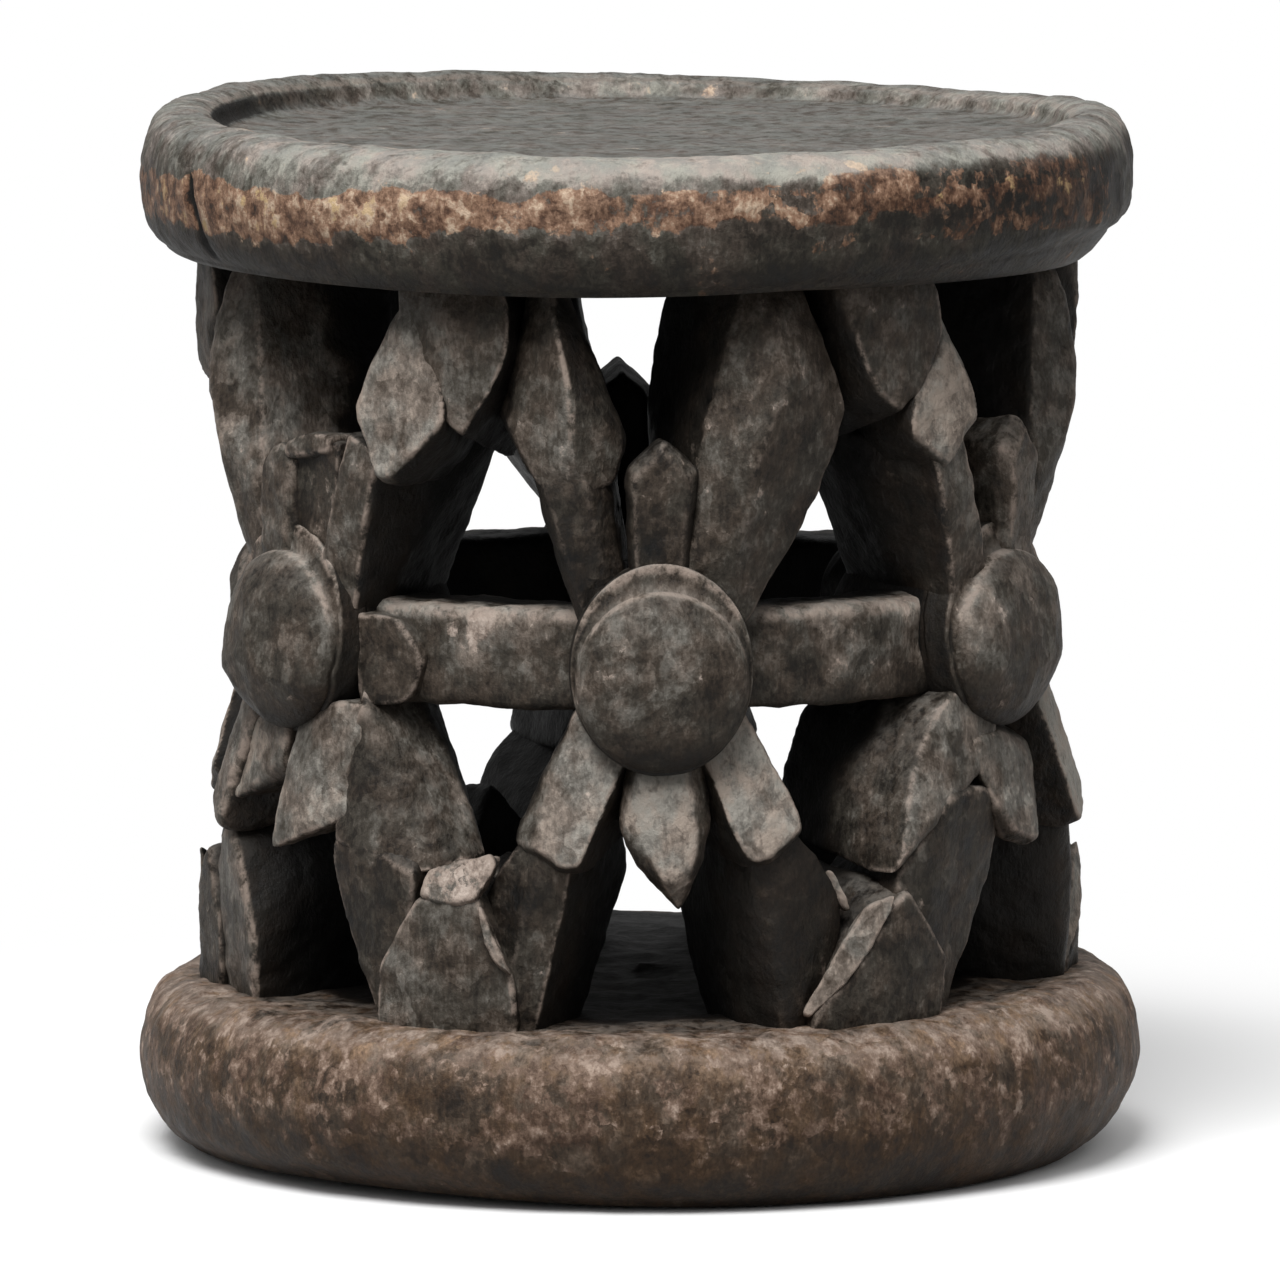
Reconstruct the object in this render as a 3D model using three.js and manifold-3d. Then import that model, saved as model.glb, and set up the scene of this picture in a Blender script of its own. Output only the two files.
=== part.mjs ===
// Carved low stool with a spider openwork, in millimetres, +Z up, the front figure towards -Y.
// The origin is the middle of the foot, on the surface that the stool stands on.
// The real stool is hewn from one log. Its carved members are modelled one by one: a dished seat,
// a round foot and, between them, a hollow ring of six spiders that share knuckles and waist rails.

import * as THREE from 'three';
import { ConvexGeometry } from 'three/addons/geometries/ConvexGeometry.js';
import { mergeVertices } from 'three/addons/utils/BufferGeometryUtils.js';
import Module from 'manifold-3d';

const wasm = await Module();
wasm.setup();

// Driving dimensions
const SEAT_RADIUS = 200.5;
const SEAT_THICKNESS = 57;
const SEAT_RIM_WIDTH = 28;
const DISH_DEPTH = 10;
const DISH_FLAT_RADIUS = 120;
const FOOT_RADIUS = 203;
const FOOT_HEIGHT = 64;
const FOOT_EDGE_WIDTH = 25;
const OPENWORK_HEIGHT = 297;
const OPENWORK_RADIUS = 178;
const OPENWORK_WALL = 73;
const BOSS_WIDTH = 72;
const BOSS_HEIGHT = 83;
const BOSS_STAND = 2;
const BOSS_BACK_STAND = 3;
const BOSS_CHAMFER = 5;
const BOSS_DOME_HEIGHT = 12;
const RAIL_HEIGHT = 43;
const RAIL_SETBACK = 21;
const RAIL_THICKNESS = 36;
const RAIL_CHAMFER = 4;
const RAIL_END_SHARE = 0.3;
const CLEARANCE = 0.35;

// Counts and angles
const SPIDERS = 6;
const FRONT_TURN = THREE.MathUtils.degToRad(2.8);
const ROUND_STEPS = 72;
const BOSS_STEPS = 24;
const DOME_STEPS = 3;
const RAIL_STEPS = 8;

// Derived places
const HALF_PITCH = Math.PI / SPIDERS;
const SEAT_UNDERSIDE = FOOT_HEIGHT + OPENWORK_HEIGHT;
const SEAT_CREST = SEAT_UNDERSIDE + SEAT_THICKNESS;
const WAIST = FOOT_HEIGHT + OPENWORK_HEIGHT / 2;
const HALF_SPAN = OPENWORK_HEIGHT / 2 - CLEARANCE;
const INNER_RADIUS = OPENWORK_RADIUS - OPENWORK_WALL;

// Each point of a carved form is three shares: of the half pitch sideways from the spider's middle,
// of the half span up from the waist, and of the wall outwards from the hollow.
const HEAD_SHARES = [
  [-0.10, 0.24, 0.88], [0.10, 0.24, 0.88], [-0.14, 0.54, 0.97], [0.14, 0.54, 0.97], [0, 0.60, 0.96],
  [-0.14, 0.20, 0.80], [0.14, 0.20, 0.80], [-0.18, 0.54, 0.85], [0.18, 0.54, 0.85], [0, 0.65, 0.84],
  [-0.13, 0.20, 0.50], [0.13, 0.20, 0.50], [-0.15, 0.52, 0.50], [0.15, 0.52, 0.50], [0, 0.62, 0.50],
];
const TAIL_SHARES = [
  [-0.10, -0.20, 0.88], [0.10, -0.20, 0.88], [-0.10, -0.50, 0.99], [0.10, -0.50, 0.99],
  [-0.20, -0.20, 0.80], [0.20, -0.20, 0.80], [-0.19, -0.46, 0.83], [0.19, -0.46, 0.83],
  [0.02, -0.62, 0.92], [0, -0.58, 0.55],
  [-0.17, -0.20, 0.50], [0.17, -0.20, 0.50], [-0.15, -0.44, 0.50], [0.15, -0.44, 0.50],
];
const UPPER_THIGH_SHARES = [
  [0.10, 0.10, 0], [0.26, 0.12, 0], [0.24, 0.58, 0], [0.66, 0.46, 0], [0.84, 0.62, 0],
  [0.04, 0.14, 0.74], [0.34, 0.10, 0.74], [0.15, 0.58, 0.80], [0.58, 0.33, 0.76],
  [0.74, 0.47, 0.78], [0.88, 0.66, 0.80], [0.22, 0.18, 0.86], [0.42, 0.60, 1.02], [0.70, 0.52, 0.90],
];
const UPPER_KNEE_SHARES = [
  [0.24, 0.58, 0], [0.66, 0.46, 0], [0.84, 0.62, 0], [0.52, 1, 0], [0.78, 1, 0], [0.74, 0.47, 0.78],
  [0.15, 0.58, 0.80], [0.88, 0.66, 0.80], [0.36, 1, 0.82], [0.76, 1, 0.82],
  [0.42, 0.60, 1.02], [0.50, 0.80, 1.02], [0.54, 1, 0.94], [0.75, 0.93, 0.90], [0.70, 0.52, 0.90],
];
const LOWER_THIGH_SHARES = [
  [0.10, -0.10, 0], [0.30, -0.12, 0], [0.14, -0.50, 0], [0.52, -0.40, 0], [0.62, -0.50, 0],
  [0.10, -0.14, 0.76], [0.34, -0.08, 0.76], [0.18, -0.50, 0.80], [0.70, -0.47, 0.83],
  [0.17, -0.24, 0.88], [0.40, -0.14, 0.87], [0.56, -0.40, 0.97], [0.49, -0.49, 1.01],
  [0.38, -0.515, 1.01], [0.27, -0.50, 1.01], [0.17, -0.33, 0.90],
];
const LOWER_SHIN_SHARES = [
  [0.14, -0.46, 0], [0.52, -0.40, 0], [0.62, -0.50, 0], [0.80, -0.68, 0], [0.44, -1, 0], [0.88, -1, 0],
  [0.20, -0.44, 0.79], [0.70, -0.47, 0.83], [0.86, -0.64, 0.80], [0.58, -1, 0.80], [0.90, -1, 0.82],
  [0.44, -0.46, 0.91], [0.60, -0.66, 0.93], [0.74, -1, 0.89],
];
// Knuckles stand half way between two spiders, and their sideways share is taken from there.
const UPPER_KNUCKLE_SHARES = [
  [-0.31, 1, 0.93], [0.31, 1, 0.93], [-0.31, 0.88, 0.97], [0.31, 0.88, 0.97],
  [-0.20, 0.72, 0.98], [0.20, 0.72, 0.98], [0, 0.64, 0.96], [0, 0.92, 1.01],
  [-0.28, 1, 0], [0.28, 1, 0], [-0.24, 0.66, 0], [0.24, 0.66, 0], [0, 0.50, 0.08], [0, 0.54, 0.65],
];
const LOWER_KNUCKLE_SHARES = [
  [-0.35, -1, 0.94], [0.35, -1, 0.94], [-0.37, -0.78, 0.98], [0.37, -0.78, 0.98],
  [-0.23, -0.63, 0.98], [0.23, -0.63, 0.98], [-0.10, -0.57, 0.91], [0.10, -0.57, 0.91],
  [0, -0.88, 1.03], [-0.27, -0.98, 0.99], [0.27, -0.98, 0.99],
  [-0.30, -1, 0], [0.30, -1, 0], [-0.24, -0.66, 0], [0.24, -0.66, 0], [0, -0.54, 0.08], [0, -0.52, 0.65],
];
// The seat's edge as shares of the rim's width in from the edge, and of the thickness up from the underside.
const SEAT_EDGE_SHARES = [
  [0.71, 0], [0.43, 0.055], [0.14, 0.19], [0.015, 0.40], [0, 0.58], [0.06, 0.78],
  [0.20, 0.93], [0.42, 1], [0.68, 0.98], [0.89, 0.92], [1.10, 0.86],
];
// The foot's edge as shares of its edge width in from the edge, and of its height.
const FOOT_EDGE_SHARES = [
  [1.16, 0], [0.62, 0.06], [0.26, 0.18], [0.06, 0.38], [0, 0.58], [0.08, 0.78],
  [0.30, 0.91], [0.60, 0.98], [0.92, 1],
];

const patina = (color, roughness) =>
  new THREE.MeshStandardMaterial({ color, roughness, metalness: 0, flatShading: true });
const seatWood = patina(0x4a423a, 0.62);
const spiderWood = patina(0x3a332e, 0.58);
const footWood = patina(0x55443a, 0.68);

// A closed solid from a geometry, with its corners merged and its empty triangles left out.
function solidOf(geometry) {
  const bare = geometry.clone();
  bare.deleteAttribute('normal');
  bare.deleteAttribute('uv');
  const merged = mergeVertices(bare);
  const corners = [];
  for (let i = 0; i < merged.index.count; i += 3) {
    const [a, b, c] = [0, 1, 2].map((step) => merged.index.getX(i + step));
    if (a !== b && b !== c && c !== a) corners.push(a, b, c);
  }
  return new wasm.Manifold(new wasm.Mesh({
    numProp: 3,
    vertProperties: new Float32Array(merged.attributes.position.array),
    triVerts: new Uint32Array(corners),
  }));
}

function geometryOf(solid) {
  const mesh = solid.getMesh();
  const geometry = new THREE.BufferGeometry();
  geometry.setAttribute('position', new THREE.BufferAttribute(mesh.vertProperties, 3));
  geometry.setIndex(new THREE.BufferAttribute(mesh.triVerts, 1));
  return geometry;
}

const joined = (solids) => solids.reduce((all, one) => all.add(one));
const without = (solid, cutters) => cutters.reduce((left, cutter) => left.subtract(cutter), solid);

// A point of the openwork from its three shares, in the frame of the spider that faces -Y.
function placed([side, up, out]) {
  const angle = side * HALF_PITCH;
  const radius = INNER_RADIUS + out * OPENWORK_WALL;
  return new THREE.Vector3(radius * Math.sin(angle), -radius * Math.cos(angle), WAIST + up * HALF_SPAN);
}

// A form hewn with flat cuts: the smallest convex solid round its points.
const hewn = (shares) => new ConvexGeometry(shares.map(placed));
const mirrored = (shares, middle = 0) => shares.map(([side, up, out]) => [2 * middle - side, up, out]);
const between = (shares) => shares.map(([side, up, out]) => [1 + side, up, out]);

// The same convex form with every face moved out by the clearance, to cut its neighbours with.
function grown(geometry) {
  const faces = geometry.index ? geometry.toNonIndexed() : geometry;
  const place = faces.attributes.position;
  const points = [];
  for (let i = 0; i < place.count; i += 3) {
    const corners = [0, 1, 2].map((step) => new THREE.Vector3().fromBufferAttribute(place, i + step));
    const out = new THREE.Triangle(...corners).getNormal(new THREE.Vector3()).multiplyScalar(CLEARANCE);
    if (out.lengthSq() > 0) points.push(...corners.map((corner) => corner.add(out)));
  }
  return solidOf(new ConvexGeometry(points));
}

// A disc seat or foot: its edge profile turned round the middle, between a lower and an upper plane.
function turned(profile) {
  const geometry = new THREE.LatheGeometry(profile, ROUND_STEPS);
  geometry.rotateX(Math.PI / 2);
  return geometryOf(solidOf(geometry));
}

function seatGeometry() {
  const edge = SEAT_EDGE_SHARES.map(([inward, up]) => new THREE.Vector2(
    SEAT_RADIUS - inward * SEAT_RIM_WIDTH, SEAT_UNDERSIDE + up * SEAT_THICKNESS));
  const floor = SEAT_CREST - DISH_DEPTH;
  return turned([
    new THREE.Vector2(0, SEAT_UNDERSIDE), ...edge,
    new THREE.Vector2(DISH_FLAT_RADIUS, floor), new THREE.Vector2(0, floor),
  ]);
}

function footGeometry() {
  const edge = FOOT_EDGE_SHARES.map(([inward, up]) => new THREE.Vector2(
    FOOT_RADIUS - inward * FOOT_EDGE_WIDTH, up * FOOT_HEIGHT));
  return turned([new THREE.Vector2(0, 0), ...edge, new THREE.Vector2(0, FOOT_HEIGHT)]);
}

// The spider's round back: a thick disc that runs through the wall, chamfered and domed outside.
function bossGeometry() {
  const rim = BOSS_WIDTH / 2;
  const cap = rim - BOSS_CHAMFER;
  const front = OPENWORK_RADIUS + BOSS_STAND;
  const back = INNER_RADIUS - BOSS_BACK_STAND;
  const domeRadius = (cap * cap + BOSS_DOME_HEIGHT * BOSS_DOME_HEIGHT) / (2 * BOSS_DOME_HEIGHT);
  const domeSweep = Math.asin(cap / domeRadius);
  const profile = [
    new THREE.Vector2(0, back), new THREE.Vector2(rim, back), new THREE.Vector2(rim, front - BOSS_CHAMFER),
  ];
  for (let step = DOME_STEPS; step >= 0; step--) {
    const sweep = domeSweep * step / DOME_STEPS;
    const height = front + BOSS_DOME_HEIGHT - domeRadius + domeRadius * Math.cos(sweep);
    profile.push(new THREE.Vector2(domeRadius * Math.sin(sweep), height));
  }
  const geometry = new THREE.LatheGeometry(profile, BOSS_STEPS);
  geometry.rotateX(Math.PI);
  geometry.scale(1, 1, BOSS_HEIGHT / BOSS_WIDTH);
  geometry.translate(0, 0, WAIST);
  return geometry;
}

// The waist rail: a bar bent round the ring from the middle of one boss to the middle of the next.
function railGeometry() {
  const outer = OPENWORK_RADIUS - RAIL_SETBACK;
  const inner = outer - RAIL_THICKNESS;
  const shoulder = RAIL_HEIGHT / 2 - RAIL_CHAMFER;
  const section = [
    new THREE.Vector2(inner, -RAIL_HEIGHT / 2), new THREE.Vector2(outer - RAIL_CHAMFER, -RAIL_HEIGHT / 2),
    new THREE.Vector2(outer, -shoulder), new THREE.Vector2(outer, shoulder),
    new THREE.Vector2(outer - RAIL_CHAMFER, RAIL_HEIGHT / 2), new THREE.Vector2(inner, RAIL_HEIGHT / 2),
  ];
  const start = RAIL_END_SHARE * HALF_PITCH;
  const sweep = 2 * (HALF_PITCH - start);
  const positions = [];
  const ring = (step) => section.map(({ x, y }) => {
    const angle = start + sweep * step / RAIL_STEPS;
    return [x * Math.sin(angle), -x * Math.cos(angle), WAIST + y];
  });
  for (let step = 0; step < RAIL_STEPS; step++) {
    const [near, far] = [ring(step), ring(step + 1)];
    section.forEach((_, i) => {
      const j = (i + 1) % section.length;
      positions.push(...near[i], ...far[i], ...far[j], ...near[i], ...far[j], ...near[j]);
    });
  }
  const [first, last] = [ring(0), ring(RAIL_STEPS)];
  for (let i = 1; i + 1 < section.length; i++) {
    positions.push(...first[0], ...first[i], ...first[i + 1], ...last[0], ...last[i + 1], ...last[i]);
  }
  const geometry = new THREE.BufferGeometry();
  geometry.setAttribute('position', new THREE.Float32BufferAttribute(positions, 3));
  return geometry;
}

const mesh = (name, geometry, material) => {
  const piece = new THREE.Mesh(geometry, material);
  piece.name = name;
  return piece;
};

const boss = bossGeometry();
const head = hewn(HEAD_SHARES);
const tail = hewn(TAIL_SHARES);
const legForms = {
  upper: [UPPER_THIGH_SHARES, UPPER_KNEE_SHARES],
  lower: [LOWER_THIGH_SHARES, LOWER_SHIN_SHARES],
};
const bodyCutters = [boss, head, tail].map(grown);

// The four legs of one spider, each a thigh and a second length joined at the knee.
function legGeometry(level, side) {
  const forms = legForms[level].map((shares) => (side === 'right' ? shares : mirrored(shares)));
  return geometryOf(without(joined(forms.map((form) => solidOf(hewn(form)))), bodyCutters));
}

// What stands half way between two spiders is cut by the legs that reach it from both sides.
const legCutters = Object.fromEntries(Object.entries(legForms).map(([level, forms]) => [
  level, forms.flatMap((shares) => [grown(hewn(shares)), grown(hewn(mirrored(shares, 1)))]),
]));
const nextBoss = bossGeometry().rotateZ(2 * HALF_PITCH);
const pieces = {
  body: geometryOf(joined([boss, head].map(solidOf))),
  tail: geometryOf(without(solidOf(tail), [grown(boss)])),
  upper_left_leg: legGeometry('upper', 'left'),
  upper_right_leg: legGeometry('upper', 'right'),
  lower_left_leg: legGeometry('lower', 'left'),
  lower_right_leg: legGeometry('lower', 'right'),
  upper_knuckle: geometryOf(without(solidOf(hewn(between(UPPER_KNUCKLE_SHARES))), legCutters.upper)),
  lower_knuckle: geometryOf(without(solidOf(hewn(between(LOWER_KNUCKLE_SHARES))), legCutters.lower)),
  waist_rail: geometryOf(without(solidOf(railGeometry()), [
    grown(boss), grown(nextBoss), ...legCutters.upper, ...legCutters.lower,
  ])),
};

const stool = new THREE.Group();
stool.add(mesh('seat', seatGeometry(), seatWood));
stool.add(mesh('foot', footGeometry(), footWood));
for (let i = 0; i < SPIDERS; i++) {
  const spider = new THREE.Group();
  spider.rotation.z = FRONT_TURN + 2 * HALF_PITCH * i;
  for (const [name, geometry] of Object.entries(pieces)) {
    spider.add(mesh(`spider_${i + 1}_${name}`, geometry, spiderWood));
  }
  stool.add(spider);
}

export default stool;
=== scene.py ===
# %% [markdown]
# # A low stool carved from one log
# The real stool is hewn from a single block of dark hardwood: a dished seat, a thick foot and, between
# them, a hollow ring of six spiders. The carver left flat adze cuts, and hands and dust did the rest.
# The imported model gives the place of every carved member. This lesson dresses each one with a surface
# worked out by numpy, so that it shows cuts, rubbed edges and wear, and never moves the model itself.

# %% Load the frame
import functools
import itertools
import math

import bpy
import numpy as np
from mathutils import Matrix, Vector


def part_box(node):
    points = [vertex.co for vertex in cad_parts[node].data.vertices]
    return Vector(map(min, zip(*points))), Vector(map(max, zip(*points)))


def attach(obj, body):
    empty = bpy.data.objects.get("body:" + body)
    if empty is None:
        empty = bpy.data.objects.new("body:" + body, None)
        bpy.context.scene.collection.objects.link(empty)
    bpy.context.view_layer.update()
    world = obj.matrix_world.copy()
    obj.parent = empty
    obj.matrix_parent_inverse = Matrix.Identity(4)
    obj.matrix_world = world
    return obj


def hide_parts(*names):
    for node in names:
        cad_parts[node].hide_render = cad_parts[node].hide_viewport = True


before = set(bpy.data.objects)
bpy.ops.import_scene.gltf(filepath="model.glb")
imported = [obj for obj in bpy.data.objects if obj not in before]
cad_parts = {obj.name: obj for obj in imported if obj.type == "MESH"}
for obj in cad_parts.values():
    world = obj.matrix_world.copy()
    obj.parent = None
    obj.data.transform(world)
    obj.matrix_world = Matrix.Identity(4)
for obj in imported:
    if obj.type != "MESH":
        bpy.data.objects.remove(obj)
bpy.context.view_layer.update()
print("nodes in the frame:", len(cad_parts))

# %% [markdown]
# ## Sizes
# A stool like this is laid out with a cord and compasses: two discs and a wall between them, split
# into six. All sizes of the discs come from the frame. Every carved corner is then given by three
# shares, sideways, upwards and outwards, so that one table of corners serves all six spiders.

# %% Sizes, in metres
MM = 0.001
seat_low, seat_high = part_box("seat")
foot_low, foot_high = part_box("foot")
SEAT_RADIUS = (seat_high.x - seat_low.x) / 2
SEAT_THICKNESS = seat_high.z - seat_low.z
FOOT_RADIUS = (foot_high.x - foot_low.x) / 2
FOOT_HEIGHT = foot_high.z - foot_low.z
WAIST = (foot_high.z + seat_low.z) / 2
HALF_SPAN = (seat_low.z - foot_high.z) / 2
OPENWORK_RADIUS = 178 * MM
OPENWORK_WALL = 73 * MM
INNER_RADIUS = OPENWORK_RADIUS - OPENWORK_WALL
SPIDERS = 6
HALF_PITCH = math.pi / SPIDERS
FRONT_TURN = math.radians(2.8)
print(f"seat {2 * SEAT_RADIUS:.3f} m across, foot {2 * FOOT_RADIUS:.3f} m across,",
      f"openwork {2 * HALF_SPAN:.3f} m high")

# %% [markdown]
# ## Camera
# The photograph was taken from some way off, a little above the seat, with a long lens: both discs
# show as flat ellipses of nearly the same shape. A camera 5 m away that looks down by 7 degrees gives
# the same ellipses.

# %% Camera
PICTURE_SIDE = 1280
FOCAL_PIXELS = 12450
EYE = Vector((0, -5, 0.7988))
AIM = Vector((0, 0, 0.2038))

lens = bpy.data.cameras.new("camera")
lens.sensor_width = 36
lens.lens = lens.sensor_width * FOCAL_PIXELS / PICTURE_SIDE
camera = bpy.data.objects.new("camera", lens)
camera.location = EYE
camera.rotation_euler = (AIM - EYE).to_track_quat("-Z", "Y").to_euler()
bpy.context.scene.collection.objects.link(camera)
bpy.context.scene.camera = camera
print(f"lens {lens.lens:.0f} mm on a {lens.sensor_width:.0f} mm sensor")

# %% [markdown]
# ## Shader helpers
# A finish is a net of small nodes. These helpers add one node, or one common group of nodes, in a line,
# so that each finish below reads like a list of what lies on the wood.

# %% Shader helpers
def node(tree, kind, inputs=None, **settings):
    """Adds a shader node with its settings, and fills its inputs with plain values or other outputs."""
    made = tree.nodes.new("ShaderNode" + kind)
    for name, value in settings.items():
        setattr(made, name, value)
    for name, value in (inputs or {}).items():
        socket = made.inputs[name]
        if isinstance(value, bpy.types.NodeSocket):
            tree.links.new(value, socket)
        else:
            socket.default_value = value
    return made


def maths(tree, how, first, second):
    """The result of one operation on two values or outputs."""
    return node(tree, "Math", {0: first, 1: second}, operation=how).outputs[0]


def times(tree, first, second):
    """The product of two values or outputs."""
    return maths(tree, "MULTIPLY", first, second)


def between(tree, value, low, high):
    """Turns a value into a share that rises smoothly from 0 at low to 1 at high."""
    inputs = {"Value": value, "From Min": low, "From Max": high}
    return node(tree, "MapRange", inputs, interpolation_type="SMOOTHSTEP").outputs[0]


def all_between(tree, *steps):
    """The product of such shares, each for a value, a low and a high."""
    share = 1.0
    for value, low, high in steps:
        share = times(tree, share, between(tree, value, low, high))
    return share


def mixed(tree, share, first, second, how="MIX"):
    """Lays the second colour over the first by a share."""
    made = node(tree, "Mix", {0: share, 6: first, 7: second}, data_type="RGBA", blend_type=how)
    return made.outputs[2]


def speckle(tree, place, scales, detail, roughness, shift=0.0):
    """Noise on Object coordinates, with one scale for each axis, in spots to the metre."""
    moved = node(tree, "Mapping", {"Vector": place, "Location": (shift, shift, shift), "Scale": scales})
    inputs = {"Vector": moved.outputs[0], "Scale": 1.0, "Detail": detail, "Roughness": roughness}
    return node(tree, "TexNoise", inputs).outputs[0]


def attribute(tree, name):
    """The value that the mesh carries under this name."""
    return node(tree, "Attribute", attribute_name=name).outputs["Fac"]


# %% [markdown]
# Every finish starts from an empty material, so that it holds only the nodes that are added to it here.

# %% A new material
def new_material(name):
    """An empty material with its output node."""
    made = bpy.data.materials.new(name)
    made.use_nodes = True
    made.node_tree.nodes.clear()
    return made, made.node_tree, node(made.node_tree, "OutputMaterial")


# %% [markdown]
# ## Grids and noise
# Wood that is cut by hand is never smooth. Two kinds of roughness are enough here: soft noise, for
# surfaces that waver, and scoops, the shallow hollows that each blow of an adze leaves. Both are worked
# out for all points at once from whole numbers that are scrambled in the same way on every run.

# %% Noise
CELL_FACTORS = np.array([374761393, 668265263, 2147483629])
SEED_FACTOR = 974711
FOLD_FACTOR = 1274126177


def smooth_step(value, low, high):
    """A share that rises from 0 at low to 1 at high by 3t^2 - 2t^3."""
    share = np.clip((value - low) / (high - low), 0, 1)
    return share * share * (3 - 2 * share)


def bell(value, middle, width):
    """1 at the middle and falling to 0 over a width on both sides, by exp(-t^2)."""
    return np.exp(-((value - middle) / width) ** 2)


def scrambled(cells, seed):
    """A number from 0 to 1 for each whole-numbered cell: the cell's three numbers times large numbers,
    added and folded over themselves."""
    mixed_up = (cells * CELL_FACTORS).sum(-1) + seed * SEED_FACTOR
    mixed_up = (mixed_up ^ (mixed_up >> 13)) & 0xFFFFFFFF
    mixed_up = (mixed_up * FOLD_FACTOR) & 0xFFFFFFFF
    return ((mixed_up ^ (mixed_up >> 16)) & 0xFFFFFF) / 0x1000000


def soft_noise(points, size, seed):
    """Noise from -1 to 1: the scrambled numbers of the eight corners of a cell of this size, blended by
    3t^2 - 2t^3 along each axis."""
    scaled = points / size
    cells = np.floor(scaled).astype(np.int64)
    part = smooth_step(scaled - cells, 0, 1)
    total = np.zeros(points.shape[:-1])
    for corner in itertools.product((0, 1), repeat=3):
        weight = np.prod(np.where(corner, part, 1 - part), axis=-1)
        total += weight * scrambled(cells + np.array(corner), seed)
    return 2 * total - 1


def scoops(points, size, seed):
    """Adze marks from -1 at the bottom of a scoop to 0 on the ridges: the squared distance to the nearest
    of the points that are strewn one to a cell, in cells."""
    scaled = points / size
    cells = np.floor(scaled).astype(np.int64)
    nearest = np.full(points.shape[:-1], np.inf)
    for step in itertools.product((-1, 0, 1), repeat=3):
        home = cells + np.array(step)
        spot = np.stack([scrambled(home, seed + axis) for axis in range(3)], axis=-1)
        nearest = np.minimum(nearest, ((home + spot - scaled) ** 2).sum(-1))
    return np.clip(nearest, 0, 1) - 1


def hand_cut(points, scooped, *noises):
    """How far a hand-cut surface stands out: scoops about their middle and soft noises, each given by its
    depth in mm, its size in mm and its seed."""
    depth, size, seed = scooped
    push = depth * MM * (scoops(points, size * MM, seed) + 0.5)
    for depth, size, seed in noises:
        push = push + depth * MM * soft_noise(points, size * MM, seed)
    return push


# %% [markdown]
# ## Closed skins
# Every piece below is a grid of points that closes at two poles and all the way round. One helper turns
# such a grid into triangles and quads, turns the faces outwards, and stores the shares that the finishes
# read at each point: how near an edge is, the tone of its cut, how far it is worn bare and how calm it is.
# A share that a piece doesn't store counts as 0.

# %% Closed skins
def once_round(count):
    """A row of angles, evenly once round."""
    return np.linspace(0, 2 * math.pi, count, endpoint=False)[None]


def skin(grid, **values):
    """A closed skin: its grid of points in rings from pole to pole, and values to store with each."""
    return {"grid": grid, "values": values}


def skin_parts(one):
    """Vertices, faces and values of a skin, with each pole once and the faces turned outwards, by the
    sign of the volume that the triangles from the origin add up to."""
    rings, columns = one["grid"].shape[:2]
    flat = one["grid"][1:-1].reshape(-1, 3)
    points = np.vstack([one["grid"][0, :1], flat, one["grid"][-1, :1]])
    here = 1 + np.arange((rings - 2) * columns).reshape(rings - 2, columns)
    beside = np.roll(here, -1, axis=1)
    quads = np.stack([here[:-1], beside[:-1], beside[1:], here[1:]], axis=-1).reshape(-1, 4)
    last = len(points) - 1
    tops = np.stack([np.zeros(columns, int), beside[0], here[0]], axis=-1)
    ends = np.stack([np.full(columns, last), here[-1], beside[-1]], axis=-1)
    a, b, c, d = (points[quads[:, i]] for i in range(4))
    volume = (np.cross(b - a, c - a) * a + np.cross(c - a, d - a) * a).sum()
    if volume < 0:
        quads, tops, ends = quads[:, ::-1], tops[:, ::-1], ends[:, ::-1]
    stored = {}
    for name, value in one["values"].items():
        stored[name] = np.concatenate([value[0, :1], value[1:-1].ravel(), value[-1, :1]])
    return points, quads, np.vstack([tops, ends]), stored


def make_piece(name, skins, material, node_name):
    """One object of one or more closed skins. It stands for its node and rides on the stool's body."""
    points, corners, starts, values = [], [], [], {}
    used, loops = 0, 0
    for one in skins:
        places, quads, triangles, stored = skin_parts(one)
        for faces in (quads, triangles):
            size = faces.shape[1]
            starts.append(loops + size * np.arange(len(faces)))
            corners.append((faces + used).ravel())
            loops += faces.size
        points.append(places)
        used += len(places)
        for key, value in stored.items():
            values.setdefault(key, []).append(value)
    mesh = bpy.data.meshes.new(name)
    mesh.vertices.add(used)
    mesh.vertices.foreach_set("co", np.vstack(points).astype(np.float32).ravel())
    mesh.loops.add(loops)
    mesh.loops.foreach_set("vertex_index", np.concatenate(corners).astype(np.int32))
    starts = np.concatenate(starts).astype(np.int32)
    mesh.polygons.add(len(starts))
    mesh.polygons.foreach_set("loop_start", starts)
    mesh.update(calc_edges=True)
    mesh.shade_smooth()
    for key, value in values.items():
        layer = mesh.attributes.new(key, "FLOAT", "POINT")
        layer.data.foreach_set("value", np.concatenate(value).astype(np.float32))
    mesh.materials.append(material)
    piece = bpy.data.objects.new(name, mesh)
    bpy.context.scene.collection.objects.link(piece)
    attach(piece, "root")
    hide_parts(node_name)
    return piece


# %% [markdown]
# ## The finishes
# Old stools of this kind are nearly black where no hand or cloth reaches, grey-brown on the proud cuts and
# pale along rubbed edges. So each mesh stores a tone from 0, black with soot and painted shade, to 1, rubbed
# pale and painted as lit, and the finish turns the tone into a colour with a ramp. Noise moves the tone
# about, which gives clouds, mottles and pores of the same family of colours, and flat dabs stand for the
# marks of a small blade. Three more stored shares change it: wear lays bare brown and tan wood, edge lays a
# pale line that is partly rubbed wear and partly a painted highlight, and calm takes the noise down.

# %% Patina
# The ramp runs from black, for soot and painted shade, to pale, for rubbed wood and painted light.
SOOT_AND_SHADE_TO_PALE_AND_LIT = [(0.0022, 0.0019, 0.0016), (0.0150, 0.0118, 0.0090), (0.057, 0.0485, 0.0400),
                (0.155, 0.142, 0.129), (0.330, 0.306, 0.280)]
GOLDEN_WOOD = (0.52, 0.36, 0.18, 1)
SMALL_DAB_SHARE = 2.3
GLOSS = 0.2


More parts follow.
